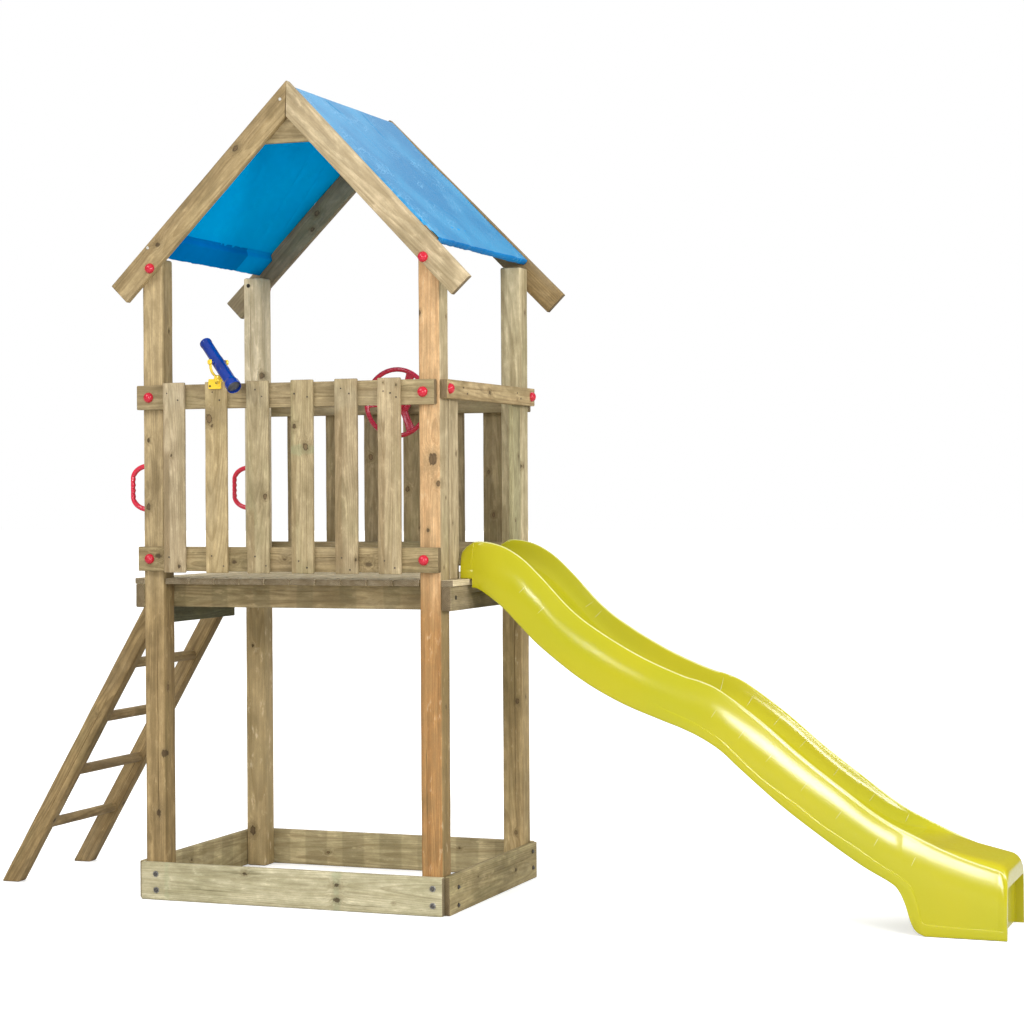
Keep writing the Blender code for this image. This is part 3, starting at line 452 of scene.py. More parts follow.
def round_profile(points, radius=0.0008, steps=3):
    """Rounds the inner corners of a lathe profile."""
    pts = [Vector((p[0], p[1])) for p in points]
    out = [pts[0]]
    for a, p, c in zip(pts, pts[1:], pts[2:]):
        da, dc = (a - p), (c - p)
        r = min(radius, da.length * 0.45, dc.length * 0.45)
        if r < 1e-6:
            out.append(p)
            continue
        p0, p1 = p + da.normalized() * r, p + dc.normalized() * r
        for k in range(steps + 1):
            f = k / steps
            out.append(p0 * (1 - f) ** 2 + p * 2 * f * (1 - f) + p1 * f ** 2)
    out.append(pts[-1])
    return [(p.x, p.y) for p in out]


def wob(p, s, amp):
    """Smooth repeatable unevenness."""
    return noise.noise(Vector((p[0] * s[0], p[1] * s[1], p[2] * s[2]))) * amp


def board(name, a, b, across, width, thick, mat_args, nodes=(), radius=0.003,
          seed=1.0, start=None, end=None, cracks=(), wear=0.35, warp=0.0006,
          body="tower", corner_drop=None, step=0.03):
    """A sawn board between tower points a and b, with worn rounded edges,
    slightly uneven faces and drying cracks.  start and end give, for a point
    (v, w) of the section, where along the board it begins and ends.
    cracks: (side, v, from, to, depth), side -1 for the face towards -N."""
    pa, pb = T(*a), T(*b)
    A = (pb - pa).normalized()
    B = Vector(across).normalized()
    B = (B - A * B.dot(A)).normalized()
    N = A.cross(B).normalized()
    L = (pb - pa).length
    hw, ht = width / 2, thick / 2
    start = start or (lambda v, w: 0.0)
    end = end or (lambda v, w: L)
    # the section: corners with three facets, faces with a few points
    sec = []                     # (sign_v, sign_w, corner angle or None, v, w)
    nv = max(2, int(width / 0.03))
    nw = max(1, int(thick / 0.04))
    cracks_of = {-1: sorted(c[1] for c in cracks if c[0] < 0),
                 1: sorted(c[1] for c in cracks if c[0] > 0)}

    def corner(sv, sw, a0):
        for k in range(4):
            sec.append(("c", sv, sw, math.radians(a0 + 30 * k)))

    def face_v(sw, direction):
        vals = [(-hw + radius) + (2 * (hw - radius)) * k / nv for k in range(1, nv)]
        for cv in cracks_of[sw]:
            vals = [x for x in vals if abs(x - cv) > 0.003]
            vals += [cv - 0.0016, cv, cv + 0.0016]
        vals = sorted(vals, reverse=direction < 0)
        for x in vals:
            sec.append(("f", x, sw))

    def face_w(sv, direction):
        for k in range(1, nw + 1):
            x = (-ht + radius) + (2 * (ht - radius)) * k / (nw + 1)
            sec.append(("g", sv, x * direction))

    corner(-1, -1, 180)
    face_v(-1, 1)
    corner(1, -1, 270)
    face_w(1, 1)
    corner(1, 1, 0)
    face_v(1, -1)
    corner(-1, 1, 90)
    face_w(-1, -1)
    n_st = max(4, int(L / step))
    ts = [0.0] + [0.35 * radius / L, radius / L * 1.1] + list(np.linspace(0, 1, n_st + 1)[1:-1]) \
        + [1 - radius / L * 1.1, 1 - 0.35 * radius / L] + [1.0]
    inset = [0.75 * radius, 0.22 * radius] + [0.0] * (len(ts) - 4) + [0.22 * radius, 0.75 * radius]
    rings = []
    for t, ins in zip(ts, inset):
        ring = []
        s_mid = L * t
        for item in sec:
            if item[0] == "c":
                _, sv, sw, ang = item
                rr = radius * (1 + wear * (noise.noise(Vector((s_mid * 9 + seed, sv * 5.1, sw * 7.7 + seed * 3))) * 1.6))
                rr = max(radius * 0.45, min(rr, radius * 1.9))
                v = sv * (hw - ins) - sv * rr + rr * math.cos(ang)
                w = sw * (ht - ins) - sw * rr + rr * math.sin(ang)
            elif item[0] == "f":
                v, w = item[1] * (hw - ins) / hw, item[2] * (ht - ins)
            else:
                v, w = item[1] * (hw - ins), item[2] * (ht - ins) / ht
            s0, s1 = start(v, w), end(v, w)
            s = s0 + (s1 - s0) * t
            for side, cv, c0, c1, depth in cracks:
                if item[0] == "f" and item[2] == side and abs(item[1] - cv) < 1e-6:
                    if c0 < s < c1:
                        f = (s - c0) / (c1 - c0)
                        w -= side * depth * min(1.0, 4 * f * (1 - f) + 0.15) * (
                            0.7 + 0.5 * noise.noise(Vector((s * 40, seed, cv * 100))))
            if warp:
                dv = wob((s + seed * 5, w * 3, 0.3), (3.0, 3.0, 1), warp)
                dw = wob((s + seed * 9, v * 2, 1.7), (4.0, 9.0, 1), warp)
                v += dv - math.copysign(warp * 0.5, v)
                w += dw - math.copysign(warp * 0.5, w)
            ring.append(pa + A * s + B * v + N * w)
        rings.append(ring)
    bm = bmesh.new()
    bm_loft(bm, rings)
    bmesh.ops.recalc_face_normals(bm, faces=bm.faces)
    args = dict(mat_args)
    args.setdefault("pith_thick", thick > 0.05)
    args.setdefault("seed", seed)
    mat = wood(name + "_wood", (pa + pb) / 2, A, B, **args)
    return finish_object(name, bm, mat, body, nodes, flat_angle=50)


def slab(name, poly, z0, z1, mat, nodes=(), edge=0.002, axis="Z", body="tower",
         mid=0.0):
    """A flat piece with a drawn outline.  poly is in tower x, y (axis Z) or
    x, z (axis Y, from y = z0 to z1)."""
    bm = bmesh.new()

    def at(p, q):
        return T(p[0], p[1], q) if axis == "Z" else T(p[0], q, p[1])
    low = [bm.verts.new(at(p, z0)) for p in poly]
    top = [bm.verts.new(at(p, z1)) for p in poly]
    bm.faces.new(low)
    bm.faces.new(top)
    n = len(poly)
    for i in range(n):
        bm.faces.new((low[i], low[(i + 1) % n], top[(i + 1) % n], top[i]))
    bmesh.ops.recalc_face_normals(bm, faces=bm.faces)
    o = finish_object(name, bm, mat, body, nodes, flat_angle=50)
    m = o.modifiers.new("worn_edges", "BEVEL")
    m.width = edge
    m.segments = 3
    m.limit_method = "ANGLE"
    m.angle_limit = math.radians(40)
    return o


# ----------------------------------------------------------------------- posts
PX, PY = HALF_W - POST / 2, HALF_D - POST / 2
X, Y, Z = (1, 0, 0), (0, 1, 0), (0, 0, 1)
WARM = dict(light=(0.53, 0.400, 0.205), dark=(0.37, 0.255, 0.115))
OLIVE = dict(light=(0.50, 0.415, 0.235), dark=(0.37, 0.285, 0.145))
PALE = dict(light=(0.66, 0.535, 0.335), dark=(0.51, 0.390, 0.215))
GREENISH = dict(light=(0.54, 0.485, 0.285), dark=(0.40, 0.335, 0.170))
DEEP = dict(light=(0.36, 0.270, 0.135), dark=(0.23, 0.160, 0.073))

# low= on the posts paints shade on their lower parts
board("post_front_left_timber", (-PX, -PY, 0), (-PX, -PY, POST_TOP), X, POST, POST,
      dict(WARM, knots=[(-0.0215, 0.272, 0.010, "front", 0.8), (0.036, -0.65, 0.012, "front", 0.6),
                        (0.0125, -0.873, 0.012, "front", 0.45), (-0.0165, -0.405, 0.009, "side"),
                        (0.01, 0.93, 0.006, "side", 0.7), (-0.02, 0.52, 0.007, "front", 0.5)],
           green=0.30, streak=0.55, low=(1.2, (0.78, 0.72, 0.62)),
           face=((0.62, 0.470, 0.250), (0.45, 0.330, 0.155))),
      ["post_front_left"], radius=0.006, seed=1.3, wear=0.25,
      cracks=[(-1, 0.012, 0.25, 1.05, 0.004), (1, -0.01, 0.9, 1.9, 0.005)])
board("post_front_right_timber", (PX, -PY, 0), (PX, -PY, POST_TOP), X, POST, POST,
      dict(PALE, knots=[(0.0125, 0.437, 0.019, "front", 0.75), (0.0325, 0.351, 0.009, "front", 0.8),
                        (-0.0075, 0.184, 0.006, "front", 0.7), (-0.0385, 0.963, 0.008, "front", 0.8),
                        (0.01, 0.30, 0.004, "side"), (-0.012, 0.05, 0.004, "side"),
                        (0.02, 0.95, 0.005, "side"), (0.0, -0.45, 0.005, "side")],
           green=0.35, streak=0.4, low=(1.2, (0.68, 0.57, 0.40)),
           face=((0.80, 0.51, 0.255), (0.66, 0.355, 0.145))),
      ["post_front_right"], radius=0.006, seed=2.1, wear=0.25,
      cracks=[(-1, -0.018, 0.15, 0.75, 0.003)])
# painted light: this post's much paler tone stands in for the light falling on it
board("post_back_left_timber", (-PX, PY, 0), (-PX, PY, POST_TOP), X, POST, POST,
      dict(light=(0.95, 0.82, 0.58), dark=(0.78, 0.64, 0.40), low=(1.2, (0.76, 0.67, 0.50)),
           knots=[(0.036, 0.798, 0.010, "front", 0.9), (-0.0145, -1.051, 0.015, "front", 0.8),
                        (-0.01, -0.30, 0.006, "front", 0.6), (0.012, 0.1, 0.008, "side")],
           green=0.30, streak=0.4),
      ["post_back_left"], radius=0.006, seed=3.7, wear=0.25,
      cracks=[(-1, -0.012, 1.95, 2.36, 0.004), (1, 0.01, 0.3, 1.2, 0.005)])
board("post_back_right_timber", (PX, PY, 0), (PX, PY, POST_TOP), X, POST, POST,
      dict(light=(0.74, 0.630, 0.400), dark=(0.54, 0.43, 0.24), low=(1.2, (0.92, 0.80, 0.64)),
           knots=[(0.0345, 0.419, 0.008, "front", 0.8), (0.0115, -1.01, 0.007),
                            (0.0205, -0.496, 0.009, "front", 0.9), (0.0, -0.483, 0.006, "side"),
                            (-0.015, 0.42, 0.007, "side"), (0.012, 1.02, 0.006, "side")],
           green=0.40, streak=0.6),
      ["post_back_right"], radius=0.006, seed=4.9, wear=0.25,
      cracks=[(-1, 0.010, 0.25, 1.10, 0.005), (1, -0.012, 1.3, 2.2, 0.005)])

# -------------------------------------------------------------- sandbox boards
BASE_H, BASE_T, BASE_HALF = 0.140, 0.027, 0.608
yb = HALF_D + GAP + BASE_T / 2
board("base_front_timber", (-BASE_HALF, -yb, BASE_H / 2), (BASE_HALF, -yb, BASE_H / 2), Z,
      BASE_H, BASE_T,
      dict(light=(0.80, 0.735, 0.510), dark=(0.66, 0.590, 0.360), green=0.40, streak=0.35,
           knots=[(0.024, 0.196, 0.010, "front", 0.55), (-0.030, 0.195, 0.012, "front", 0.5),
                  (0.047, -0.177, 0.008, "front", 0.7), (-0.030, 0.42, 0.005, "front", 0.6)],
           patches=[(0.195, 0.020, 0.5, (0.34, 0.38, 0.235)), (-0.50, 0.015, 0.35, (0.33, 0.36, 0.21))]),
      ["base_board_front"], radius=0.004, seed=5.5,
      cracks=[(1, -0.024, 0.20, 0.42, 0.004), (1, 0.045, 0.35, 0.50, 0.003),
              (1, -0.048, 0.80, 0.98, 0.003)])
board("base_back_timber", (-BASE_HALF, yb, BASE_H / 2), (BASE_HALF, yb, BASE_H / 2), Z,
      BASE_H, BASE_T,
      dict(light=(0.76, 0.64, 0.375), dark=(0.60, 0.47, 0.25), green=0.3, knots=[(-0.015, -0.276, 0.008), (0.03, 0.30, 0.006)],
           bars=(0.165, 0.62, 0.30, -0.055)),
      ["base_board_back"], radius=0.004, seed=6.2, cracks=[(-1, 0.02, 0.3, 0.8, 0.004)])
xb = HALF_W + GAP + BASE_T / 2
board("base_left_timber", (-xb, -HALF_D, BASE_H / 2), (-xb, HALF_D, BASE_H / 2), Z,
      BASE_H, BASE_T, dict(light=(0.70, 0.59, 0.335), dark=(0.55, 0.43, 0.22), green=0.4, knots=[(0.02, -0.1, 0.007)],
                           bars=(0.165, 0.62, 0.26, -0.02)),
      ["base_board_left"], radius=0.004, seed=7.9, cracks=[(-1, -0.02, 0.2, 0.6, 0.004)])
board("base_right_timber", (xb, -HALF_D, BASE_H / 2), (xb, HALF_D, BASE_H / 2), Z,
      BASE_H, BASE_T,
      dict(light=(0.56, 0.46, 0.245), dark=(0.42, 0.325, 0.155), green=0.4,
           knots=[(-0.005, 0.218, 0.010, "front", 0.6), (0.03, -0.18, 0.006, "front", 0.6)]),
      ["base_board_right"], radius=0.004, seed=8.4, cracks=[(1, 0.020, 0.45, 0.85, 0.004)])

# --------------------------------------------------------------------- joists
DECK_TOP, DECK_T, JOIST_H, JOIST_T = 1.200, 0.022, 0.088, 0.037
JT = DECK_TOP - DECK_T - GAP
jz = JT - JOIST_H / 2
jx = (HALF_W + GAP + HALF_W + JOIST_T) / 2
for side, sx, sd, extra in (("left", -1, 9.1, {}),
                            ("right", 1, 10.6, dict(light=(0.42, 0.340, 0.205), dark=(0.31, 0.240, 0.130)))):
    board("joist_%s_timber" % side, (sx * jx, -HALF_D, jz), (sx * jx, HALF_D, jz), Z,
          JOIST_H, JOIST_T - GAP, dict(dict(OLIVE, green=0.35, knots=[(0.01, 0.05, 0.007)]), **extra),
          ["joist_" + side], radius=0.004, seed=sd, cracks=[(sx, 0.015, 0.2, 0.7, 0.003)])
jy = HALF_D - (POST + GAP + POST + JOIST_T) / 2
for side, sy, sd in (("front", -1, 11.8), ("back", 1, 12.7)):
    board("joist_%s_timber" % side, (-HALF_W, sy * jy, jz), (HALF_W, sy * jy, jz), Z,
          JOIST_H, JOIST_T - GAP,
          dict(light=(0.47, 0.365, 0.195), dark=(0.33, 0.235, 0.11), green=0.3,
               knots=[(0.012, -0.16, 0.006), (-0.02, 0.33, 0.005)],
               bars=(0.175, 0.42, 0.42, -0.02)),
          ["joist_" + side], radius=0.004, seed=sd, cracks=[(1, 0.02, 0.35, 0.8, 0.003)])

# ----------------------------------------------------------------- deck planks
PITCH, GROOVE = 0.1028, 0.005
DX = (-0.639, 0.646)
# painted light: the deck's pale tone stands in for light on its top, which lies in shade under the slats
deck_mat = wood("deck_wood", T(0, 0, DECK_TOP - DECK_T / 2), Y, X, 13.3,
                light=(0.95, 0.82, 0.58), dark=(0.74, 0.60, 0.38), green=0.12, streak=0.40,
                grey=0.15, pitch=PITCH, tilt=0.02, ends=(0.080, 0.052, 0.026), spec=0.04)
edges = [k * PITCH for k in range(-5, 6)]
spans = list(zip([DX[0]] + [e + GROOVE / 2 for e in edges],
                 [e - GROOVE / 2 for e in edges] + [DX[1]]))


def round_rect(x0, x1, z0, z1, r, n=3, top=5):
    """Points of a rectangle with rounded corners, some extra on the flat."""
    out = []
    for cx, cz, a0 in ((x0 + r, z0 + r, 180), (x1 - r, z0 + r, 270),
                       (x1 - r, z1 - r, 0), (x0 + r, z1 - r, 90)):
        for k in range(n + 1):
            a = math.radians(a0 + 90 * k / n)
            out.append((cx + r * math.cos(a), cz + r * math.sin(a)))
        if a0 == 0:
            out += [(x1 - r + (x0 - x1 + 2 * r) * k / top, z1) for k in range(1, top)]
    return out


for i, (x0, x1) in enumerate(spans):
    if i in (0, len(spans) - 1):
        sx = -1 if i == 0 else 1
        o_, i_ = (x0, x1) if sx < 0 else (x1, x0)
        a = sx * (HALF_W + GAP)
        c = sx * (HALF_W - POST - GAP)
        yn = HALF_D - POST - GAP
        poly = [(o_, -HALF_D), (a, -HALF_D), (a, -yn), (i_, -yn), (i_, yn), (a, yn),
                (a, HALF_D), (o_, HALF_D)]
        slab("deck_plank_%02d" % (i + 1), poly, DECK_TOP - DECK_T, DECK_TOP, deck_mat,
             ["deck_boards"], edge=0.0025)
        continue
    bm = bmesh.new()
    rings = []
    rr = 0.0028
    sec = round_rect(x0, x1, DECK_TOP - DECK_T, DECK_TOP, rr)
    xm, zm = (x0 + x1) / 2, DECK_TOP - DECK_T / 2
    y_in = 0.0015 * abs(noise.noise(Vector((i * 3.1, 0.4, 0))))
    ys = [-HALF_D + y_in, -HALF_D + y_in + 0.0012] + list(np.linspace(-HALF_D + 0.006, HALF_D - 0.006, 26)) \
        + [HALF_D - y_in - 0.0012, HALF_D - y_in]
    for k, y in enumerate(ys):
        ins = 0.0018 if k in (0, len(ys) - 1) else 0.0
        ring = []
        for (px, pz) in sec:
            qx = xm + (px - xm) * (1 - ins / 0.05) + wob((y, i * 4.4, 0), (5, 1, 1), 0.0006)
            qz = zm + (pz - zm) * (1 - ins / 0.011) - abs(wob((y, px * 9, i * 2.2), (3, 3, 1), 0.0008))
            ring.append(T(qx, y, max(qz, DECK_TOP - DECK_T)))
        rings.append(ring)
    bm_loft(bm, rings)
    bmesh.ops.recalc_face_normals(bm, faces=bm.faces)
    finish_object("deck_plank_%02d" % (i + 1), bm, deck_mat, "tower", ["deck_boards"], 50)

# ------------------------------------------------------------- rails and slats
RAIL_T, RAIL_H = 0.028, 0.091
RAIL_TOP_X, RAIL_LOW_X = (-0.612, 0.589), (-0.609, 0.601)
front_y = -HALF_D - GAP
ry = front_y - RAIL_T / 2
board("front_rail_top_timber", (RAIL_TOP_X[0], ry, 1.828 + RAIL_H / 2), (RAIL_TOP_X[1], ry, 1.828 + RAIL_H / 2),
      Z, RAIL_H, RAIL_T,
      dict(light=(0.54, 0.425, 0.240), dark=(0.39, 0.285, 0.145), green=0.3,
           knots=[(0.02, -0.25, 0.006, "front", 0.5)]),
      ["front_rail_top"], seed=14.2, cracks=[(1, -0.012, 0.25, 0.85, 0.003), (1, 0.022, 0.9, 1.15, 0.002)])
board("front_rail_low_timber", (RAIL_LOW_X[0], ry, 1.227 + RAIL_H / 2), (RAIL_LOW_X[1], ry, 1.227 + RAIL_H / 2),
      Z, RAIL_H, RAIL_T,
      dict(light=(0.50, 0.385, 0.205), dark=(0.35, 0.25, 0.12), green=0.35, ring=0.7,
           knots=[(0.012, -0.52, 0.012, "front", 0.45), (-0.01, -0.205, 0.010, "front", 0.45),
                  (-0.015, 0.335, 0.012, "front", 0.35), (0.0, 0.0, 0.008, "front", 0.35)]),
      ["front_rail_bottom"], seed=15.4, cracks=[(1, 0.008, 0.55, 0.95, 0.003)])
SLAT_W, SLAT_T, SLAT_Z = 0.088, 0.017, (1.222, 1.926)
sy_ = front_y - RAIL_T - GAP - SLAT_T / 2
SLATS = [
    # centre x, colours, band (edge, amount, from, to), knots, stains
    (-0.449, dict(light=(0.66, 0.535, 0.350), dark=(0.53, 0.405, 0.240)), (-0.018, 0.55, -0.36, 0.10),
     [(-0.008, 0.083, 0.006, "front", 0.6), (0.020, -0.328, 0.007, "front", 0.6)],
     [(0.30, 0.05, 0.22, (0.40, 0.35, 0.24))], 0.25),
    (-0.274, dict(light=(0.64, 0.495, 0.270), dark=(0.50, 0.365, 0.165)), None,
     [(-0.026, 0.217, 0.014, "front", 1.0), (-0.014, 0.190, 0.006, "front", 0.9)],
     [(0.235, 0.045, 0.45, (0.25, 0.19, 0.10)), (-0.16, 0.05, 0.25, (0.36, 0.28, 0.15))], 0.25),
    (-0.104, dict(light=(0.58, 0.475, 0.285), dark=(0.43, 0.335, 0.175)), (-0.010, 0.5, -0.36, -0.12),
     [(0.031, -0.071, 0.009, "front", 0.9)], [(0.30, 0.06, 0.25, (0.42, 0.36, 0.24))], 0.45),
    (0.075, dict(light=(0.60, 0.485, 0.285), dark=(0.45, 0.340, 0.170)), (-0.022, 0.5, -0.36, 0.06),
     [(0.016, 0.108, 0.012, "front", 0.95), (-0.029, 0.184, 0.008, "front", 0.75)],
     [(0.098, 0.022, 0.5, (0.30, 0.34, 0.19))], 0.5),
    (0.250, dict(light=(0.58, 0.460, 0.280), dark=(0.44, 0.330, 0.180)), (-0.014, 0.5, -0.36, 0.24),
     [(0.038, -0.30, 0.006, "front", 0.5)], [(0.28, 0.05, 0.35, (0.34, 0.29, 0.19)),
                                             (-0.34, 0.03, 0.3, (0.30, 0.24, 0.13))], 0.3),
    (0.419, dict(light=(0.66, 0.525, 0.325), dark=(0.51, 0.385, 0.215)), (-0.016, 0.5, -0.36, 0.20),
     [(0.03, 0.325, 0.005, "front", 0.7), (-0.02, 0.335, 0.004, "front", 0.7)],
     [(0.33, 0.03, 0.25, (0.40, 0.33, 0.21))], 0.25),
]
for i, (cx, tone, band, knots, stains, green) in enumerate(SLATS):
    board("front_slat_%d_timber" % (i + 1), (cx, sy_, SLAT_Z[0]), (cx, sy_, SLAT_Z[1]), X,
          SLAT_W, SLAT_T,
          dict(tone, green=green, knots=knots, patches=stains, band=band, streak=0.45,
               tilt=0.045),
          ["front_slat_%d" % (i + 1)], seed=16.3 + 2.1 * i, wear=0.45, radius=0.0032,
          cracks=[(-1, (-0.02, 0.02, 0.01, -0.028, 0.025, -0.012)[i], 0.60, 0.70, 0.003),
                  (-1, (0.015, -0.03, 0.03, 0.02, 0.034, 0.018)[i], 0.0, (0.06, 0.05, 0.04, 0.05, 0.10, 0.05)[i], 0.003)])

by = HALF_D + GAP + RAIL_T / 2
for place, z0, sd in (("top", 1.828, 31.2), ("bottom", 1.227, 32.9)):
    board("back_rail_%s_timber" % place, (RAIL_LOW_X[0], by, z0 + RAIL_H / 2),
          (RAIL_LOW_X[1], by, z0 + RAIL_H / 2), Z, RAIL_H, RAIL_T,
          dict(light=(0.48, 0.385, 0.225), dark=(0.34, 0.255, 0.135), green=0.4,
               knots=[(0.01, 0.2, 0.007, "front", 0.6)]),
          ["back_panel"], seed=sd, cracks=[(1, 0.01, 0.3, 0.8, 0.003)])
bsy = HALF_D + GAP + RAIL_T + SLAT_T / 2
BACK_KNOTS = {2: [(-0.013, 0.085, 0.011)], 3: [(-0.025, -0.045, 0.010), (0.03, -0.2, 0.006)],
              0: [(0.02, 0.12, 0.008)], 5: [(0.0, -0.15, 0.008), (-0.02, 0.02, 0.007)],
              1: [(0.02, -0.22, 0.007)], 4: [(-0.02, 0.2, 0.007)]}
for i, cx in enumerate((-0.418, -0.245, -0.075, 0.097, 0.271, 0.442)):
    tone = dict(light=(0.50, 0.395, 0.225), dark=(0.35, 0.260, 0.130)) if i % 2 else \
        dict(light=(0.45, 0.355, 0.205), dark=(0.31, 0.230, 0.120))
    board("back_slat_%d_timber" % (i + 1), (cx, bsy, SLAT_Z[0]), (cx, bsy, SLAT_Z[1]), X,
          SLAT_W, SLAT_T, dict(tone, green=0.4, knots=BACK_KNOTS[i], tilt=0.04),
          ["back_panel"], seed=34.1 + 1.7 * i, wear=0.45,
          cracks=[(1, 0.01, 0.0, 0.07, 0.003), (1, -0.02, 0.62, 0.70, 0.003)])

SRZ = (1.850, 1.919)
srx = HALF_W + GAP + RAIL_T / 2
board("side_rail_timber", (srx, -HALF_D, sum(SRZ) / 2), (srx, HALF_D, sum(SRZ) / 2), Z,
      SRZ[1] - SRZ[0], RAIL_T,
      dict(light=(0.64, 0.485, 0.265), dark=(0.49, 0.340, 0.160), green=0.25,
           knots=[(0.0, -0.033, 0.009, "front", 0.7), (-0.01, 0.26, 0.005, "front", 0.5)]),
      ["side_rail"], seed=45.8, cracks=[(1, 0.008, 0.1, 0.5, 0.003)])
for side, s, sd in (("front", -1, 47.3), ("back", 1, 48.6)):
    y = s * 0.325
    board("side_slat_%s_timber" % side, (HALF_W - SLAT_T / 2, y, DECK_TOP + GAP),
          (HALF_W - SLAT_T / 2, y, SRZ[1] - 0.012), Y, 0.088, SLAT_T,
          dict(PALE if s < 0 else GREENISH, green=0.35, knots=[(0.02, 0.1, 0.006), (-0.015, -0.15, 0.005)]),
          ["side_slat_" + side], seed=sd, cracks=[(-1, 0.01, 0.0, 0.2, 0.003)])

# ------------------------------------------------------------------------ roof
RIDGE_X, RAFTER_T = 0.008, 0.028
RAFTERS = {
    "front": {"peak": (0.014, 3.018), "inner": (0.008, 2.884),
              "left": ((-0.716, 2.294), (-0.652, 2.230)),
              "right": ((0.726, 2.280), (0.657, 2.216))},
    "back": {"peak": (0.014, 3.010), "inner": (0.008, 2.880),
             "left": ((-0.720, 2.298), (-0.656, 2.232)),
             "right": ((0.749, 2.284), (0.682, 2.217))}}
RAFTER_LOOK = {
    "front_left": (dict(light=(0.58, 0.435, 0.225), dark=(0.43, 0.300, 0.135)),
                   [(0.022, -0.20, 0.012, "front", 0.9), (0.010, 0.27, 0.011, "front", 0.45)],
                   (0.006, -0.42), 0.15),
    "front_right": (dict(light=(0.74, 0.60, 0.385), dark=(0.62, 0.475, 0.275)),
                    [(0.02, 0.40, 0.003, "front", 0.6)], None, 0.12),
    "back_left": (dict(light=(0.40, 0.330, 0.215), dark=(0.28, 0.215, 0.130)),
                  [(0.012, -0.03, 0.012), (-0.02, 0.03, 0.009)], None, 0.45),
    "back_right": (dict(light=(0.43, 0.300, 0.135), dark=(0.31, 0.200, 0.080)),
                   [(0.0, 0.05, 0.008)], None, 0.3)}
for n_r, (place, s) in enumerate((("front", -1), ("back", 1))):
    ym = s * (HALF_D + GAP + RAFTER_T / 2)
    for side, sx in (("left", -1), ("right", 1)):
        sh = RAFTERS[place]
        peak = Vector((sh["peak"][0] + sx * GAP / 2, 0, sh["peak"][1]))
        inner = Vector((sh["inner"][0] + sx * GAP / 2, 0, sh["inner"][1]))
        ol = Vector((sh[side][0][0], 0, sh[side][0][1]))
        il = Vector((sh[side][1][0], 0, sh[side][1][1]))
        A = (ol - peak).normalized()
        B = (peak - inner)
        B = (B - A * B.dot(A)).normalized()
        hw = (ol - il).dot(B) / 2
        L = (ol - peak).dot(A)
        c_low = ol - B * hw
        pa = c_low - A * L
        s_in0, s_in1 = (inner - pa).dot(A), (il - pa).dot(A)

        def f_start(v, w, hw=hw, s_in0=s_in0):
            return s_in0 * (hw - v) / (2 * hw)

        def f_end(v, w, hw=hw, L=L, s_in1=s_in1):
            return L + (s_in1 - L) * (hw - v) / (2 * hw)
        key = place + "_" + side
        tone, knots, band, green = RAFTER_LOOK[key]
        board("rafter_%s_timber" % key, (pa.x, ym, pa.z), (c_low.x, ym, c_low.z),
              tuple(B), 2 * hw, RAFTER_T,
              dict(tone, knots=knots, band=band, green=green, streak=0.4, rough=0.66),
              ["rafter_" + key], seed=51.2 + 3.3 * n_r + 1.6 * (sx > 0), start=f_start, end=f_end,
              radius=0.0025, cracks=[(1 if sx < 0 else -1, -0.01, 0.45, 0.95, 0.0025)])
    lim, g = 3.0155 - 0.023, 2.796
    poly = [(RIDGE_X + a, z) for a, z in ((-(lim - g), g), (lim - g, g), (0.025, lim - 0.025),
                                          (-0.025, lim - 0.025))]
    ys = sorted((s * (HALF_D - 0.020), s * HALF_D))
    gm = wood("gusset_wood_" + place, T(0, ys[0], 2.86), X, Z, 60.5 + n_r * 2,
              light=(0.56, 0.44, 0.25), dark=(0.42, 0.31, 0.155), green=0.25,
              knots=[(0.0, 0.09, 0.007)])
    slab("gusset_%s_timber" % place, poly, ys[0], ys[1], gm, ["gusset_" + place], 0.0015, "Y")
board("ridge_batten_timber", (RIDGE_X, -(HALF_D - 0.0203), 2.943), (RIDGE_X, HALF_D - 0.0203, 2.943),
      Z, 0.062, 0.028, dict(OLIVE, green=0.3), ["ridge_batten"], radius=0.002, seed=63.3)
for side, sx in (("left", -1), ("right", 1)):
    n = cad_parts["eave_batten_" + side]
    n.data.materials.clear()
    n.data.materials.append(wood("eave_wood_" + side, T(sx * 0.56, 0, 2.44), Y,
                                 (0.707, 0, -0.707 * sx), 64 + sx))

# ---------------------------------------------------------------------- ladder
SLOPE, L_OUT, L_IN, L_Y, L_TOP = 0.59, -1.335, -1.257, (0.242, 0.294), 1.125
hyp = math.hypot(1, SLOPE)
lw = (L_IN - L_OUT) / hyp
plumb = -(HALF_W + JOIST_T + GAP + 0.0187 + GAP)
for place, s, sd in (("front", -1, 71.3), ("back", 1, 73.9)):
    ym = s * (L_Y[0] + L_Y[1]) / 2
    x0 = (L_OUT + L_IN) / 2
    Az, Ax, Bx, Bz = 1 / hyp, SLOPE / hyp, 1 / hyp, -SLOPE / hyp

    def f_start(v, w):
        return -(Bz * v) / Az

    def f_end(v, w):
        return min((L_TOP - Bz * v) / Az, (plumb - x0 - Bx * v) / Ax)
    board("stringer_%s_timber" % place, (x0, ym, 0), (x0 + SLOPE * L_TOP, ym, L_TOP),
          (Bx, 0, Bz), lw, L_Y[1] - L_Y[0],
          dict(light=(0.43, 0.300, 0.135), dark=(0.30, 0.195, 0.080), green=0.22, ring=0.6,
               knots=[(0.0, 0.12, 0.007, "front", 0.5), (0.005, -0.35, 0.008, "side", 0.6)],
               streak=0.55),
          ["ladder_stringer_" + place], radius=0.005, seed=sd, start=f_start, end=f_end,
          cracks=[(-1, 0.008, 0.25, 0.9, 0.004)])
RUNG_R = 0.020
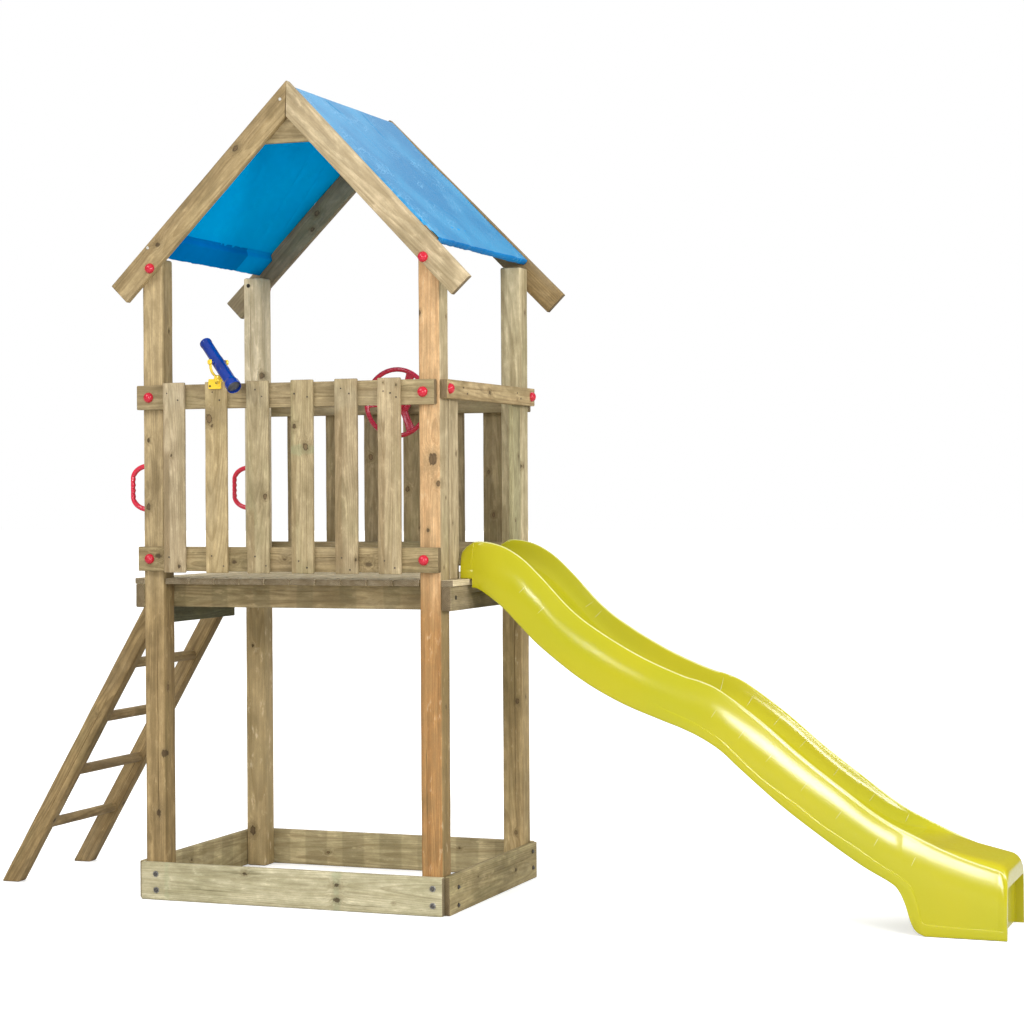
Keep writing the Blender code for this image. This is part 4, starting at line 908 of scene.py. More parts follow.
for i, z in enumerate((0.230, 0.441, 0.652, 0.863)):
    x = (L_OUT + L_IN) / 2 + SLOPE * z + 0.010
    reach = L_Y[0] + 0.030
    bm = bmesh.new()
    pts, rad = [], []
    for y in [-reach, -reach + 0.003] + list(np.linspace(-reach + 0.02, reach - 0.02, 22)) + [reach - 0.003, reach]:
        pts.append(T(x, y, z))
        rad.append(RUNG_R * (0.93 if abs(y) > reach - 0.001 else 1.0) - 0.0003
                   - abs(wob((y, i * 2.3, 0), (7, 1, 1), 0.0009)))
    sweep(bm, pts, rad, sides=36)
    bmesh.ops.recalc_face_normals(bm, faces=bm.faces)
    m = wood("rung_wood_%d" % (i + 1), T(x, 0, z), Y, X, 75.5 + i * 1.9,
             light=(0.44, 0.315, 0.150), dark=(0.30, 0.20, 0.085), green=0.25,
             pith=(0.004, 0.006), knots=[(0.0, (-0.1, 0.04, 0.12, -0.16)[i], 0.005, "front", 0.8)])
    finish_object("ladder_rung_%d_turned" % (i + 1), bm, m, "tower",
                  ["ladder_rung_%d" % (i + 1)], 50)
bx = -(HALF_W + JOIST_T + GAP + 0.0187 / 2)
# painted shade: the batten's very dark tone stands in for the shadow under the deck
board("ladder_batten_timber", (bx, -0.352, 1.078), (bx, 0.352, 1.078), Z, 0.120, 0.0187,
      dict(light=(0.20, 0.205, 0.125), dark=(0.125, 0.125, 0.072), green=0.5, grey=0.1),
      ["ladder_batten"], seed=81.4, cracks=[(-1, 0.02, 0.1, 0.5, 0.003)])


# --------------------------------------------------------------- smooth curves
def smooth_curve(points, n=14):
    p = np.array(points, float)
    ext = np.vstack([2 * p[0] - p[1], p, 2 * p[-1] - p[-2]])
    out = []
    for i in range(1, len(ext) - 2):
        p0, p1, p2, p3 = ext[i - 1:i + 3]
        for t in np.linspace(0, 1, n, endpoint=False):
            out.append(0.5 * (2 * p1 + (p2 - p0) * t
                              + (2 * p0 - 5 * p1 + 4 * p2 - p3) * t ** 2
                              + (3 * p1 - p0 - 3 * p2 + p3) * t ** 3))
    out.append(p[-1])
    return np.array(out)


def of_x(points, n=12):
    out = smooth_curve(points, n)
    return lambda x: float(np.interp(x, out[:, 0], out[:, 1]))


# ------------------------------------------------------------------- tarpaulin
def tarp_material(name, base, shadow, sheen_rgb, rough, crinkle, spec=0.5):
    m, t, b = new_material(name)
    P = node(t, "TexCoord").outputs["Object"]
    big, _ = noise_of(t, P, 3.2, 3.0, 0.55)
    col = mix(t, smooth(t, big, 0.35, 0.68), shadow, base)
    # pressed creases: thin crossing lines in the sheet
    sep = node(t, "SeparateXYZ", {}, {0: P})
    lines = None
    for ang, scale, seed in ((0.35, 9.0, 1.0), (-0.6, 12.0, 4.0), (1.15, 7.5, 9.0)):
        u = calc(t, "ADD", calc(t, "MULTIPLY", sep.outputs[0], math.cos(ang) * 1.41),
                 calc(t, "MULTIPLY", sep.outputs[1], math.sin(ang)))
        v = calc(t, "SUBTRACT", calc(t, "MULTIPLY", sep.outputs[1], math.cos(ang)),
                 calc(t, "MULTIPLY", sep.outputs[0], math.sin(ang) * 1.41))
        q = node(t, "CombineXYZ", {}, {0: calc(t, "MULTIPLY", u, scale * 2.2),
                                       1: calc(t, "MULTIPLY", v, scale * 0.35), 2: seed}).outputs[0]
        n1, _ = noise_of(t, q, 1.0, 3.0, 0.6)
        d = calc(t, "ABSOLUTE", calc(t, "SUBTRACT", n1, 0.52))
        ln = smooth(t, d, 0.016, 0.0)
        lines = ln if lines is None else calc(t, "MAXIMUM", lines, ln)
    gate, _ = noise_of(t, P, 6.0, 2.0)
    lines = calc(t, "MULTIPLY", lines, smooth(t, gate, 0.48, 0.66))
    col = mix(t, calc(t, "MULTIPLY", lines, crinkle), col, sheen_rgb)
    # woven tapes, 3 mm wide, over and under
    w1 = calc(t, "SINE", calc(t, "MULTIPLY", calc(t, "SUBTRACT", sep.outputs[0], sep.outputs[2]), 1480.0))
    w2 = calc(t, "SINE", calc(t, "MULTIPLY", sep.outputs[1], 2094.0))
    weave = calc(t, "MULTIPLY", w1, w2)
    fine, _ = noise_of(t, P, 260.0, 2.0)
    col = mix(t, calc(t, "MULTIPLY_ADD", weave, 0.035, 0.035), col, shadow)
    t.links.new(col, b.inputs["Base Color"])
    t.links.new(smooth(t, fine, 0.3, 0.7, rough - 0.06, rough + 0.06), b.inputs["Roughness"])
    b.inputs["Specular IOR Level"].default_value = spec
    wr, _ = noise_of(t, vcalc(t, "MULTIPLY", P, (1.0, 0.6, 1.0)), 34.0, 3.0, 0.6)
    h = calc(t, "ADD", calc(t, "MULTIPLY", lines, 0.9), calc(t, "MULTIPLY", weave, 0.10))
    h = calc(t, "ADD", h, calc(t, "MULTIPLY", wr, 0.9))
    bump(t, b, h, 0.0012, 0.55)
    return m


TARP_PLANE, SLEEVE_L, SLEEVE_T, RIDGE_R = 3.0155, 0.100, 0.024, 0.030
FOLD = (0.594, TARP_PLANE - 0.594)
D0 = 0.0010


def sleeve_point(along, inward):
    return (FOLD[0] - (along + inward) / root2, FOLD[1] + (along - inward) / root2)


half = []                       # from the ridge down to the seam, (x, z, zone)
for k in range(0, 7):
    a = math.radians(90 - 45 * k / 6)
    half.append((RIDGE_R * math.cos(a) * (1 - D0 / RIDGE_R),
                 TARP_PLANE - RIDGE_R * root2 + (RIDGE_R - D0) * math.sin(a), 0))
slope_top = FOLD[0] * root2 - (RIDGE_R * math.cos(math.radians(45)) * root2)
n_sl = 124
for k in range(1, n_sl + 1):
    al = slope_top * (1 - k / n_sl)
    if al < 0.004:
        break
    half.append((*sleeve_point(al, D0), 0))
mid_in = (D0 + SLEEVE_T - 0.0012) / 2
r_e = mid_in - D0
for k in range(0, 9):           # round the eave
    a = math.radians(90 - 180 * k / 8)
    half.append((*sleeve_point(0.0036 - 0.0030 * math.cos(a), mid_in - r_e * math.sin(a)), 1))
for al in np.linspace(0.006, SLEEVE_L - 0.016, 14):
    half.append((*sleeve_point(al, SLEEVE_T - 0.0012), 2))
for f in (0.35, 0.75, 1.0):
    half.append((*sleeve_point(SLEEVE_L - 0.016 + 0.013 * f,
                               SLEEVE_T - 0.0012 - (SLEEVE_T - 0.0048) * f ** 1.4), 2))
half.append((*sleeve_point(SLEEVE_L + 0.006, 0.0033), 2))
profile = [(-x, z, q) for x, z, q in reversed(half[1:])] + half
n_left = len(half) - 1

rng = np.random.RandomState(7)
CREASES = [(1, 0.030, -0.190, 0.115, -0.135, -0.0032, 0.006), (1, 0.034, 0.131, 0.190, 0.125, -0.0035, 0.006),
           (1, 0.10, -0.15, 0.35, -0.06, 0.0014, 0.007), (1, 0.19, 0.125, 0.52, 0.10, 0.0013, 0.008),
           (1, 0.34, -0.315, 0.43, -0.22, 0.0016, 0.006), (1, 0.56, -0.10, 0.66, 0.04, 0.0016, 0.006),
           (-1, 0.10, 0.05, 0.70, 0.30, 0.0022, 0.012), (-1, 0.05, 0.22, 0.62, 0.40, 0.0018, 0.010),
           (-1, 0.30, -0.20, 0.75, 0.10, 0.0014, 0.012)]
for k in range(64):
    s0, y0 = rng.uniform(0.05, 0.80), rng.uniform(-0.42, 0.42)
    ang, ln = rng.uniform(-1.2, 1.2), rng.uniform(0.03, 0.15)
    CREASES.append((rng.choice((-1, 1)), s0, y0, s0 + ln * math.cos(ang), y0 + ln * math.sin(ang),
                    rng.choice((-1, 1)) * rng.uniform(0.0004, 0.0013), rng.uniform(0.003, 0.006)))


def tarp_offset(side, s, y):
    """How far the cloth stands out of its plane (outwards positive)."""
    e = abs(y) / HALF_D
    out = -0.0035 * math.sin(math.pi * min(s / 0.84, 1)) * (1 - e ** 2)
    out += 0.0009 * max(0.0, e - 0.85) / 0.15 * math.sin(s * 17 + side)
    near = math.exp(-((0.84 - s) / 0.055) ** 2)
    out += 0.0030 * near * noise.noise(Vector((y * 27.0, s * 3.0, 5.0 + side)))
    out += 0.0016 * near * noise.noise(Vector((y * 62.0, s * 4.0, 9.0 + side)))
    out += 0.0016 * noise.noise(Vector((s * 5.5, y * 4.0, side * 3.0)))
    for sd, s0, y0, s1, y1, amp, w in CREASES:
        if sd != side:
            continue
        ds, dy = s1 - s0, y1 - y0
        f = ((s - s0) * ds + (y - y0) * dy) / (ds * ds + dy * dy)
        if -0.1 < f < 1.1:
            d = math.hypot(s - s0 - f * ds, y - y0 - f * dy)
            if d < 4 * w:
                out += amp * math.exp(-(d / w) ** 2) * max(0.0, min(1.0, (f + 0.1) * 5, (1.1 - f) * 5))
    return max(-0.006, min(0.0035, out))


ty = np.linspace(-(HALF_D - 0.0010), HALF_D - 0.0010, 147)
bm = bmesh.new()
grid = []
lengths = [0.0]
for (x0, z0, _), (x1, z1, _) in zip(half, half[1:]):
    lengths.append(lengths[-1] + math.hypot(x1 - x0, z1 - z0))
for i, (x, z, q) in enumerate(profile):
    side = -1 if i < n_left else 1
    k = (n_left - i) if i < n_left else i - n_left
    s = lengths[k]
    if k == 0:
        nx, nz = 0.0, 1.0
    else:
        j = min(k + 1, len(half) - 1)
        dx, dz = half[j][0] - half[k - 1][0], half[j][1] - half[k - 1][1]
        ln = math.hypot(dx, dz)
        nx, nz = -dz / ln * side, dx / ln
    row = []
    for y in ty:
        yy = y
        if q == 0:
            off = tarp_offset(side, s, y)
            if k < 8:
                off *= k / 8.0
            if side == 1:
                # the front edge hangs just behind the front rafter's arris
                off -= ((0.0050 + 0.0030 * min(1, max(0, (s - 0.50) / 0.10)))
                        * min(1, max(0, (s - 0.34) / 0.10)) * min(1, max(0, (0.80 - s) / 0.03))
                        * max(0, (-y - HALF_D + 0.020) / 0.020))
        elif q == 1:
            off = 0.8 * tarp_offset(side, 0.838, y) + 0.0006
            off = min(max(off, -0.0016), 0.0028)
        else:
            off = 0.0006 * math.sin(y * 95 + s * 20) - 0.0004
            off = -abs(off)
        yy -= 0.0004 * (1 + math.sin(s * 14 + side)) * (abs(y) / HALF_D) ** 6 * math.copysign(1, y)
        # near the ridge the back rafters lie lower, and the cloth's edge rests on them
        yy += 0.005 * min(1, max(0, (0.66 - s) / 0.12)) * max(0, (y - HALF_D + 0.012) / 0.012)
        row.append(bm.verts.new(T(RIDGE_X + x + nx * off, yy, z + nz * off)))
    grid.append(row)
for i in range(len(grid) - 1):
    q = max(profile[i][2], profile[i + 1][2])
    left = i < n_left
    for j in range(len(ty) - 1):
        f = bm.faces.new((grid[i][j], grid[i + 1][j], grid[i + 1][j + 1], grid[i][j + 1]))
        # the eave fold and the cloth next to it get the painted shade of the fold
        if q == 1 or (not left and profile[i][1] < FOLD[1] + 0.006) or (
                left and profile[i + 1][1] < FOLD[1] + 0.006 and q < 2):
            f.material_index = 4
        elif q == 2:
            # the batten in the sleeve ends short of the back edge; painted shade where it shades the cloth, painted
            # light through the cloth past its end
            f.material_index = 2 if ty[j] < 0.235 else 3
        else:
            f.material_index = 0
bm.normal_update()
if grid[n_left + 20][70].link_faces[0].normal.z < 0:
    bmesh.ops.reverse_faces(bm, faces=bm.faces)
tarp_top = tarp_material("tarp_outer", (0.034, 0.300, 0.570), (0.010, 0.215, 0.470), (0.17, 0.46, 0.72), 0.46, 0.7, 0.22)
tarp_under = tarp_material("tarp_inner", (0.000, 0.450, 0.960), (0.000, 0.400, 0.900), (0.0, 0.52, 0.98), 0.65, 0.35, 0.0)
# painted shade and light: the sleeve is darker where the batten inside blocks light through the cloth, paler past the
# batten's end
tarp_hem = tarp_material("tarp_hem_painted_batten_shade", (0.000, 0.220, 0.640), (0.000, 0.190, 0.560), (0.0, 0.20, 0.52), 0.65, 0.3, 0.0)
tarp_hem2 = tarp_material("tarp_hem_painted_backlight", (0.000, 0.370, 0.900), (0.000, 0.330, 0.820), (0.0, 0.32, 0.72), 0.65, 0.3, 0.0)
# painted shade: darker blue for the fold turned away from the light
tarp_fold_painted_shade = tarp_material("tarp_fold_painted_shade", (0.000, 0.200, 0.520), (0.000, 0.140, 0.400), (0.10, 0.44, 0.78), 0.50, 0.8, 0.12)
tarp = finish_object("roof_tarpaulin", bm, [tarp_top, tarp_under, tarp_hem, tarp_hem2, tarp_fold_painted_shade], "tower",
                     ["roof_tarp"])
sol = tarp.modifiers.new("cloth_thickness", "SOLIDIFY")
sol.thickness = 0.0009
sol.offset = 0
flat_w = 2 * lengths[-1]
# inner side of the slopes gets the underside's colour
sol.material_offset = 1
TARP_FLAT = (round(flat_w, 3), round(2 * HALF_D, 3))


# ----------------------------------------------------------------------- slide
def plastic(name, base, other, rough, coat=0.5, coat_rough=0.08, peel=0.00015,
            vary=3.0, scuff=None, wave=60.0, spec=0.5):
    m, t, b = new_material(name)
    b.inputs["Specular IOR Level"].default_value = spec
    P = node(t, "TexCoord").outputs["Object"]
    big, _ = noise_of(t, P, vary, 2.0)
    col = mix(t, smooth(t, big, 0.35, 0.68), base, other)
    fine, _ = noise_of(t, P, 420.0, 2.0)
    sc, _ = noise_of(t, vcalc(t, "MULTIPLY", P, (1.0, 1.0, 3.0)), 55.0, 4.0, 0.7)
    if scuff:
        col = mix(t, calc(t, "MULTIPLY", smooth(t, sc, 0.66, 0.74), 0.35), col, scuff)
    t.links.new(col, b.inputs["Base Color"])
    t.links.new(smooth(t, sc, 0.35, 0.75, rough - 0.03, rough + 0.06), b.inputs["Roughness"])
    b.inputs["Coat Weight"].default_value = coat
    b.inputs["Coat Roughness"].default_value = coat_rough
    mid, _ = noise_of(t, P, wave, 2.0)
    h = calc(t, "ADD", calc(t, "MULTIPLY", fine, 0.001), mid)
    bump(t, b, h, peel, 1.0)
    return m


S_MID, S_HALF = -0.103, 0.197
S_START, S_END, S_END_R, S_REST = 0.611, 2.572, 0.034, 0.657
rim_z = of_x([(0.605, 1.292), (0.642, 1.327), (0.686, 1.336), (0.765, 1.320), (0.840, 1.278),
              (0.916, 1.209), (1.030, 1.093), (1.140, 1.014), (1.290, 0.930), (1.437, 0.868),
              (1.512, 0.846), (1.584, 0.813), (1.725, 0.714), (1.866, 0.598), (2.006, 0.494),
              (2.144, 0.396), (2.280, 0.329), (2.415, 0.273), (2.585, 0.222)])
low_z = of_x([(0.663, 1.168), (0.690, 1.158), (0.767, 1.103), (0.843, 1.029), (0.919, 0.957),
              (1.070, 0.845), (1.219, 0.765), (1.367, 0.708), (1.440, 0.682), (1.512, 0.650),
              (1.584, 0.606), (1.656, 0.543), (1.798, 0.425), (1.938, 0.324), (2.077, 0.232),
              (2.178, 0.177), (2.207, 0.150), (2.229, 0.105), (2.248, 0.045), (2.265, 0.016),
              (2.292, 0.0015)])
bed_depth = of_x([(0.50, 0.094), (1.20, 0.094), (1.90, 0.094), (2.00, 0.088), (2.09, 0.077),
                  (2.17, 0.057), (2.245, 0.032), (2.32, 0.012), (2.36, 0.0), (2.42, -0.008),
                  (2.483, -0.014), (2.580, -0.020)])
# the raised line that runs above the wall's lower edge, and round the foot
line_z = of_x([(1.25, 0.805), (1.367, 0.752), (1.496, 0.698), (1.583, 0.645), (1.655, 0.581),
               (1.726, 0.519), (1.796, 0.469), (1.867, 0.421), (1.937, 0.368), (2.006, 0.325),
               (2.076, 0.282), (2.144, 0.238), (2.213, 0.199), (2.247, 0.169), (2.264, 0.135),
               (2.274, 0.101), (2.280, 0.068), (2.290, 0.045), (2.314, 0.040), (2.415, 0.036),
               (2.549, 0.033), (2.60, 0.033)])


def slide_heights(x):
    top = rim_z(x)
    bed = top - bed_depth(x)
    r = S_END_R
    if x > S_END - r:
        t = (x - (S_END - r)) / r
        fall = r * (1 - math.sqrt(max(0.0, 1 - t * t)))
        top -= fall
        bed -= fall
    if x < S_REST:
        low = DECK_TOP + GAP
    elif x < 0.664:
        low = 1.168
    elif x < 2.295:
        low = low_z(x)
    else:
        low = 0.0
    return top, bed, low


LEAN, STEP_D = 0.0165, 0.0026


def outer_y(x, z, top, low):
    """Offset of the outer wall from the slide's middle at height z."""
    line = line_z(x)
    ramp = min(1.0, max(0.0, (x - 1.30) / 0.18))
    fade_end = min(1.0, max(0.0, (S_END - 0.010 - x) / 0.02))
    if x > 1.25:
        up = min(1.0, max(0.0, (z - line + 0.0015) / 0.003))
        up = up * up * (3 - 2 * up)
        d = STEP_D * ramp * up * fade_end
    else:
        d = 0.0
    h = min(0.165, 0.72 * (top - low))
    s = min(1.0, max(0.0, (z - (top - h)) / h))
    return S_HALF - d - (LEAN - d * 0.5) * s ** 2


def inner_wall(top, bed):
    a, depth = S_HALF, top - bed
    return smooth_curve([(a - LEAN - 0.0088, top - 0.0046),
                         (a - 0.0315, bed + depth * 0.62 - 0.002),
                         (a - 0.0420, bed + depth * 0.30 - 0.001),
                         (a - 0.060, bed + depth * 0.08),
                         (a - 0.092, bed)], 6)


def slide_ring(x):
    top, bed, low = slide_heights(x)
    a = S_HALF
    pts = []
    # outer wall from the bottom up
    pts.append((a - 0.0075, low + 0.0006))
    pts.append((a - 0.0040, low))
    pts.append((a - 0.0012, low + 0.0014))
    base = low + 0.0042
    line = line_z(x) if x > 1.25 else (1.168 if x < 0.664 else low) + 0.04
    line = min(max(line, base + 0.003), top - 0.05)
    for f in (0.0, 0.35, 0.7):
        z = base + (line - 0.004 - base) * f
        pts.append((outer_y(x, z, top, low), z))
    for dz in (-0.0022, -0.0010, 0.0, 0.0010, 0.0022):
        pts.append((outer_y(x, line + dz, top, low), line + dz))
    n = 15
    z0 = line + 0.006
    for k in range(n):
        f = k / (n - 1)
        z = z0 + (top - 0.0065 - z0) * f
        pts.append((outer_y(x, z, top, low), z))
    c = a - LEAN
    # the crest: a narrow rounded bead
    pts += [(c - 0.0002, top - 0.0040), (c - 0.0010, top - 0.0016), (c - 0.0026, top - 0.0003),
            (c - 0.0044, top), (c - 0.0064, top - 0.0006), (c - 0.0080, top - 0.0024)]
    pts += [(float(p[0]), float(p[1])) for p in inner_wall(top, bed)]
    pts.append((a - 0.135, bed - 0.0004))
    pts.append((a - 0.170, bed - 0.0002))
    right = pts                                    # y > 0, from bottom to middle
    left = [(-y, z) for y, z in reversed(pts)]
    if x > S_END - 0.030:                          # open in front of the end plate
        under = min(bed - 0.030, 0.174)
    elif x > S_END - 0.055:                        # the end plate
        under = 0.006
    else:
        under = max(bed - 0.022, low + 0.004)
    ro = min(0.012, (under - low) * 0.4)
    inner = [(a - 0.016, low), (a - 0.020, under - ro), (a - 0.020 - 0.29 * ro, under - 0.29 * ro),
             (a - 0.020 - ro, under)]
    return right + left + [(-y, z) for y, z in inner] + inner[::-1]


stations = [S_START, S_START + 0.0015, S_START + 0.004, 0.628, S_REST - 0.0002, S_REST + 0.0004,
            0.6635, 0.6645] + list(np.arange(0.676, 2.165, 0.0115)) \
    + list(np.arange(2.166, 2.296, 0.0035)) + list(np.arange(2.300, S_END - 0.057, 0.012)) \
    + [S_END - 0.0553, S_END - 0.0547, S_END - 0.0425, S_END - 0.034, S_END - 0.0302, S_END - 0.0298] \
    + [S_END - 0.034 * f for f in (0.82, 0.70, 0.56, 0.43, 0.31, 0.21, 0.13, 0.07, 0.03, 0.008, 0.0)]
bm = bmesh.new()
rings = []
for x in stations:
    shrink = {S_START: 0.002, S_START + 0.0015: 0.0006}.get(x, 0.0)
    ring = []
    for y, z in slide_ring(x):
        yy = y * (1 - shrink / S_HALF)
        ring.append(T(x, S_MID + yy, z))
    rings.append(ring)
bm_loft(bm, rings, cap=False)
bm.verts.ensure_lookup_table()
n_ring = len(rings[0])
for start_i in (0, len(rings) - 1):            # close the end faces, from skin to hollow
    vs = bm.verts[start_i * n_ring:(start_i + 1) * n_ring]
    skin, hollow = vs[:-8], vs[:-9:-1]
    i = j = 0
    while i < len(skin) - 1 or j < 7:
        if j == 7 or (i < len(skin) - 1 and (skin[i + 1].co - hollow[j].co).length
                      <= (skin[i].co - hollow[j + 1].co).length):
            bm.faces.new((skin[i], skin[i + 1], hollow[j]))
            i += 1
        else:
            bm.faces.new((skin[i], hollow[j + 1], hollow[j]))
            j += 1
bmesh.ops.recalc_face_normals(bm, faces=bm.faces)
slide_mat = plastic("slide_plastic", (0.440, 0.395, 0.006), (0.405, 0.382, 0.007), 0.34, 1.0, 0.13,
                    0.00150, 2.2, (0.46, 0.43, 0.03), 13.0, spec=0.08)
# painted highlight: the crest material's pale colour stands in for the glint along the rims and on the ribs
crest_highlight_mat = plastic("slide_crest_painted_highlight", (0.62, 0.60, 0.24), (0.56, 0.55, 0.16), 0.30, 0.8, 0.10, 0.00005, 30.0)
bed_mat = plastic("slide_bed_worn", (0.425, 0.362, 0.006), (0.400, 0.368, 0.007), 0.45, 0.30, 0.20,
                  0.00120, 2.2, (0.48, 0.44, 0.03), 13.0, spec=0.05)
slide = finish_object("slide_moulded", bm, [slide_mat, crest_highlight_mat, bed_mat], "tower", ["slide"])
me = slide.data
co = np.zeros(len(me.vertices) * 3, np.float32)
me.vertices.foreach_get("co", co)
co = co.reshape(-1, 3)
for p in me.polygons:
    cx = float(p.center[0]) + ORIGIN[0]
    cz = float(p.center[2])
    off = abs(float(p.center[1]) + ORIGIN[1] - S_MID)
    top = slide_heights(min(max(cx, S_START), S_END))[0]
    c = S_HALF - LEAN
    # the crest faces get the painted highlight colour
    if c - 0.0085 < off < c + 0.0004 and top - 0.0035 < cz:
        p.material_index = 1
    elif cx > 2.24 and off < S_HALF - 0.036 and p.normal[2] > 0.30:
        p.material_index = 2                      # where feet and seats rub the gloss off
me.polygons.foreach_set("use_smooth", [True] * len(me.polygons))
me.set_sharp_from_angle(angle=math.radians(38))

# short moulding ribs across the walls, in the crest's pale colour, which paints their glint
bm = bmesh.new()
for X0, side in ([(x, -1) for x in (0.905, 0.978, 1.602, 1.705, 1.807, 1.925, 2.048, 2.168, 2.29)]
                 + [(x, 1) for x in (1.008, 1.040, 1.499, 1.619, 1.722, 1.821, 1.938, 2.064, 2.178)]):
    slope = (rim_z(X0 + 0.02) - rim_z(X0 - 0.02)) / 0.04
    k = 1 / math.hypot(1, slope)
    nx, nz = -slope * k, k                      # square to the rim, upwards
    if side < 0:                                # outer face of the near wall
        pts = []
        for d in np.linspace(0.060, 0.098, 9):
            x, z = X0 - nx * d, rim_z(X0) - nz * d
            top, bed, low = slide_heights(x)
            pts.append(T(x, S_MID - outer_y(x, z, top, low) + 0.00035, z))
        rad = [0.0011 * math.sin(math.pi * (0.08 + 0.84 * q / 8)) for q in range(9)]
        sweep(bm, pts, rad, sides=8)
    else:                                       # inner face of the far wall
        pts = []
        for f in np.linspace(0.10, 0.62, 9):
            top, bed, low = slide_heights(X0)
            prof = inner_wall(top, bed)
            j = f * (len(prof) - 1)
            j0 = int(j)
            p = prof[j0] * (1 - j + j0) + prof[min(j0 + 1, len(prof) - 1)] * (j - j0)
            shift = (top - p[1]) * slope * 0.6
            pts.append(T(X0 + shift, S_MID + p[0], p[1] + shift * slope + 0.0002))
        rad = [0.0011 * math.sin(math.pi * (0.08 + 0.84 * q / 8)) for q in range(9)]
        sweep(bm, pts, rad, sides=8)
bmesh.ops.recalc_face_normals(bm, faces=bm.faces)
finish_object("slide_moulding_ribs", bm, crest_highlight_mat, "tower", ())


# --------------------------------------------------------------- nails, screws
def metal(name, base, other, rough, metallic=1.0):
    m, t, b = new_material(name)
    P = node(t, "TexCoord").outputs["Object"]
    n1, _ = noise_of(t, P, 160.0, 4.0, 0.65)
    n2, _ = noise_of(t, P, 900.0, 2.0)
    t.links.new(mix(t, smooth(t, n1, 0.35, 0.65), base, other), b.inputs["Base Color"])
    t.links.new(smooth(t, n1, 0.3, 0.7, rough, rough + 0.2), b.inputs["Roughness"])
    b.inputs["Metallic"].default_value = metallic
    bump(t, b, calc(t, "ADD", n1, calc(t, "MULTIPLY", n2, 0.3)), 0.0002, 0.7)
    return m


nail_mat = metal("nail_steel_dark", (0.060, 0.050, 0.042), (0.150, 0.120, 0.095), 0.45, 0.8)
zinc_mat = metal("zinc_plated_steel", (0.46, 0.45, 0.43), (0.28, 0.27, 0.25), 0.30)
pale_mat = metal("pale_screw_steel", (0.70, 0.68, 0.62), (0.55, 0.53, 0.48), 0.38, 0.7)
steel_mat = metal("bright_steel", (0.62, 0.61, 0.60), (0.48, 0.47, 0.46), 0.24)


def heads(name, places, axis, r, h, mat, hole=0.0):
    """Low domed heads with a drive recess, all in one piece."""
    bm = bmesh.new()
    for i, p in enumerate(places):
        k = 1 + 0.10 * math.sin(i * 2.7)
        prof = [(0.0, -0.0005), (r * k, -0.0005), (r * k, h * 0.25), (r * k * 0.92, h * 0.62),
                (r * k * 0.70, h * 0.90)]
        if hole:
            prof += [(r * hole * 1.15, h), (r * hole, h * 0.92), (r * hole * 0.9, h * 0.30), (0.0, h * 0.20)]
        else:
            prof += [(r * 0.40, h), (0.0, h)]
        lathe(bm, prof, T(*p), axis, sides=24)
    bmesh.ops.recalc_face_normals(bm, faces=bm.faces)
    return finish_object(name, bm, mat, "tower", (), 35)


SF = -(HALF_D + 0.0280 + 0.017) - 0.0004        # face of the front slats
FRONT_NAILS = [(-.475, 1.887), (-.430, 1.861), (-.424, 1.247), (-.470, 1.280),
               (-.286, 1.888), (-.257, 1.858), (-.293, 1.285), (-.244, 1.248),
               (-.111, 1.894), (-.084, 1.868), (-.115, 1.284), (-.071, 1.250),
               (.047, 1.876), (.099, 1.863), (.061, 1.268), (.094, 1.244),
               (.232, 1.891), (.265, 1.872), (.232, 1.280), (.265, 1.237),
               (.399, 1.878), (.426, 1.871), (.449, 1.856), (.400, 1.270), (.440, 1.245)]
heads("slat_nails_front", [(x, SF, z) for x, z in FRONT_NAILS], (0, -1, 0), 0.0030, 0.0012, nail_mat)
back_nails = []
for i, (x, z) in enumerate(FRONT_NAILS):
    back_nails.append((x * 1.005 + 0.004 * math.sin(i * 1.9), -SF, z + 0.005 * math.sin(i * 2.3)))
heads("slat_nails_back", back_nails, (0, 1, 0), 0.0030, 0.0012, nail_mat)
deck_screws = []
for k in range(12):
    x = DX[0] + 0.1028 * k + 0.049
    if abs(x) > HALF_W - 0.01:
        x = math.copysign(HALF_W - 0.012, x)
    for sy in (-1, 1):
        for j, dx in enumerate((-0.024, 0.022)):
            deck_screws.append((x + dx + 0.003 * math.sin(k * 3.1 + j), sy * (0.357 + 0.006 * math.sin(k * 2.1 + j * 4)),
                                DECK_TOP - 0.0002))
heads("deck_screws", deck_screws, (0, 0, 1), 0.0038, 0.0007, nail_mat, 0.45)
heads("ladder_batten_screws",
      [(-(HALF_W + 0.037 + 2 * GAP + 0.0187) - 0.0001, y, z)
       for y in (-0.335, -0.322, 0.318, 0.338) for z in (1.055, 1.105)],
      (-1, 0, 0), 0.0042, 0.0010, nail_mat, 0.45)
heads("rafter_screws", [(-0.011, -0.4855, 2.950), (-0.561, -0.4855, 2.431)], (0, -1, 0),
      0.0060, 0.0022, pale_mat, 0.4)
heads("side_slat_screws", [(HALF_W + 0.0285, y, z) for y, z in
                           ((-0.300, 1.893), (-0.262, 1.873), (0.262, 1.895), (0.300, 1.875))],
      (1, 0, 0), 0.0032, 0.0010, nail_mat)


head_mat = metal("bolt_head_steel", (0.20, 0.19, 0.18), (0.12, 0.11, 0.10), 0.40)


def bolts(name, places, axis, mat, washer=0.0115, head=0.0072):
    bm = bmesh.new()
    for i, p in enumerate(places):
        lathe(bm, round_profile([(0.0, -0.0005), (washer, -0.0005), (washer, 0.0016),
                                 (head * 1.1, 0.0019)], 0.0004, 2) + [(0.0, 0.0019)], T(*p), axis, sides=32)
        lathe(bm, [(0.0, 0.0016), (head, 0.0016), (head * 1.02, 0.0024), (head * 0.98, 0.0052),
                   (head * 0.82, 0.0064), (head * 0.35, 0.0069), (0.0, 0.0070)], T(*p), axis,
              sides=24, mat=1)
    bmesh.ops.recalc_face_normals(bm, faces=bm.faces)
    return finish_object(name, bm, [mat, head_mat], "tower", (), 35)


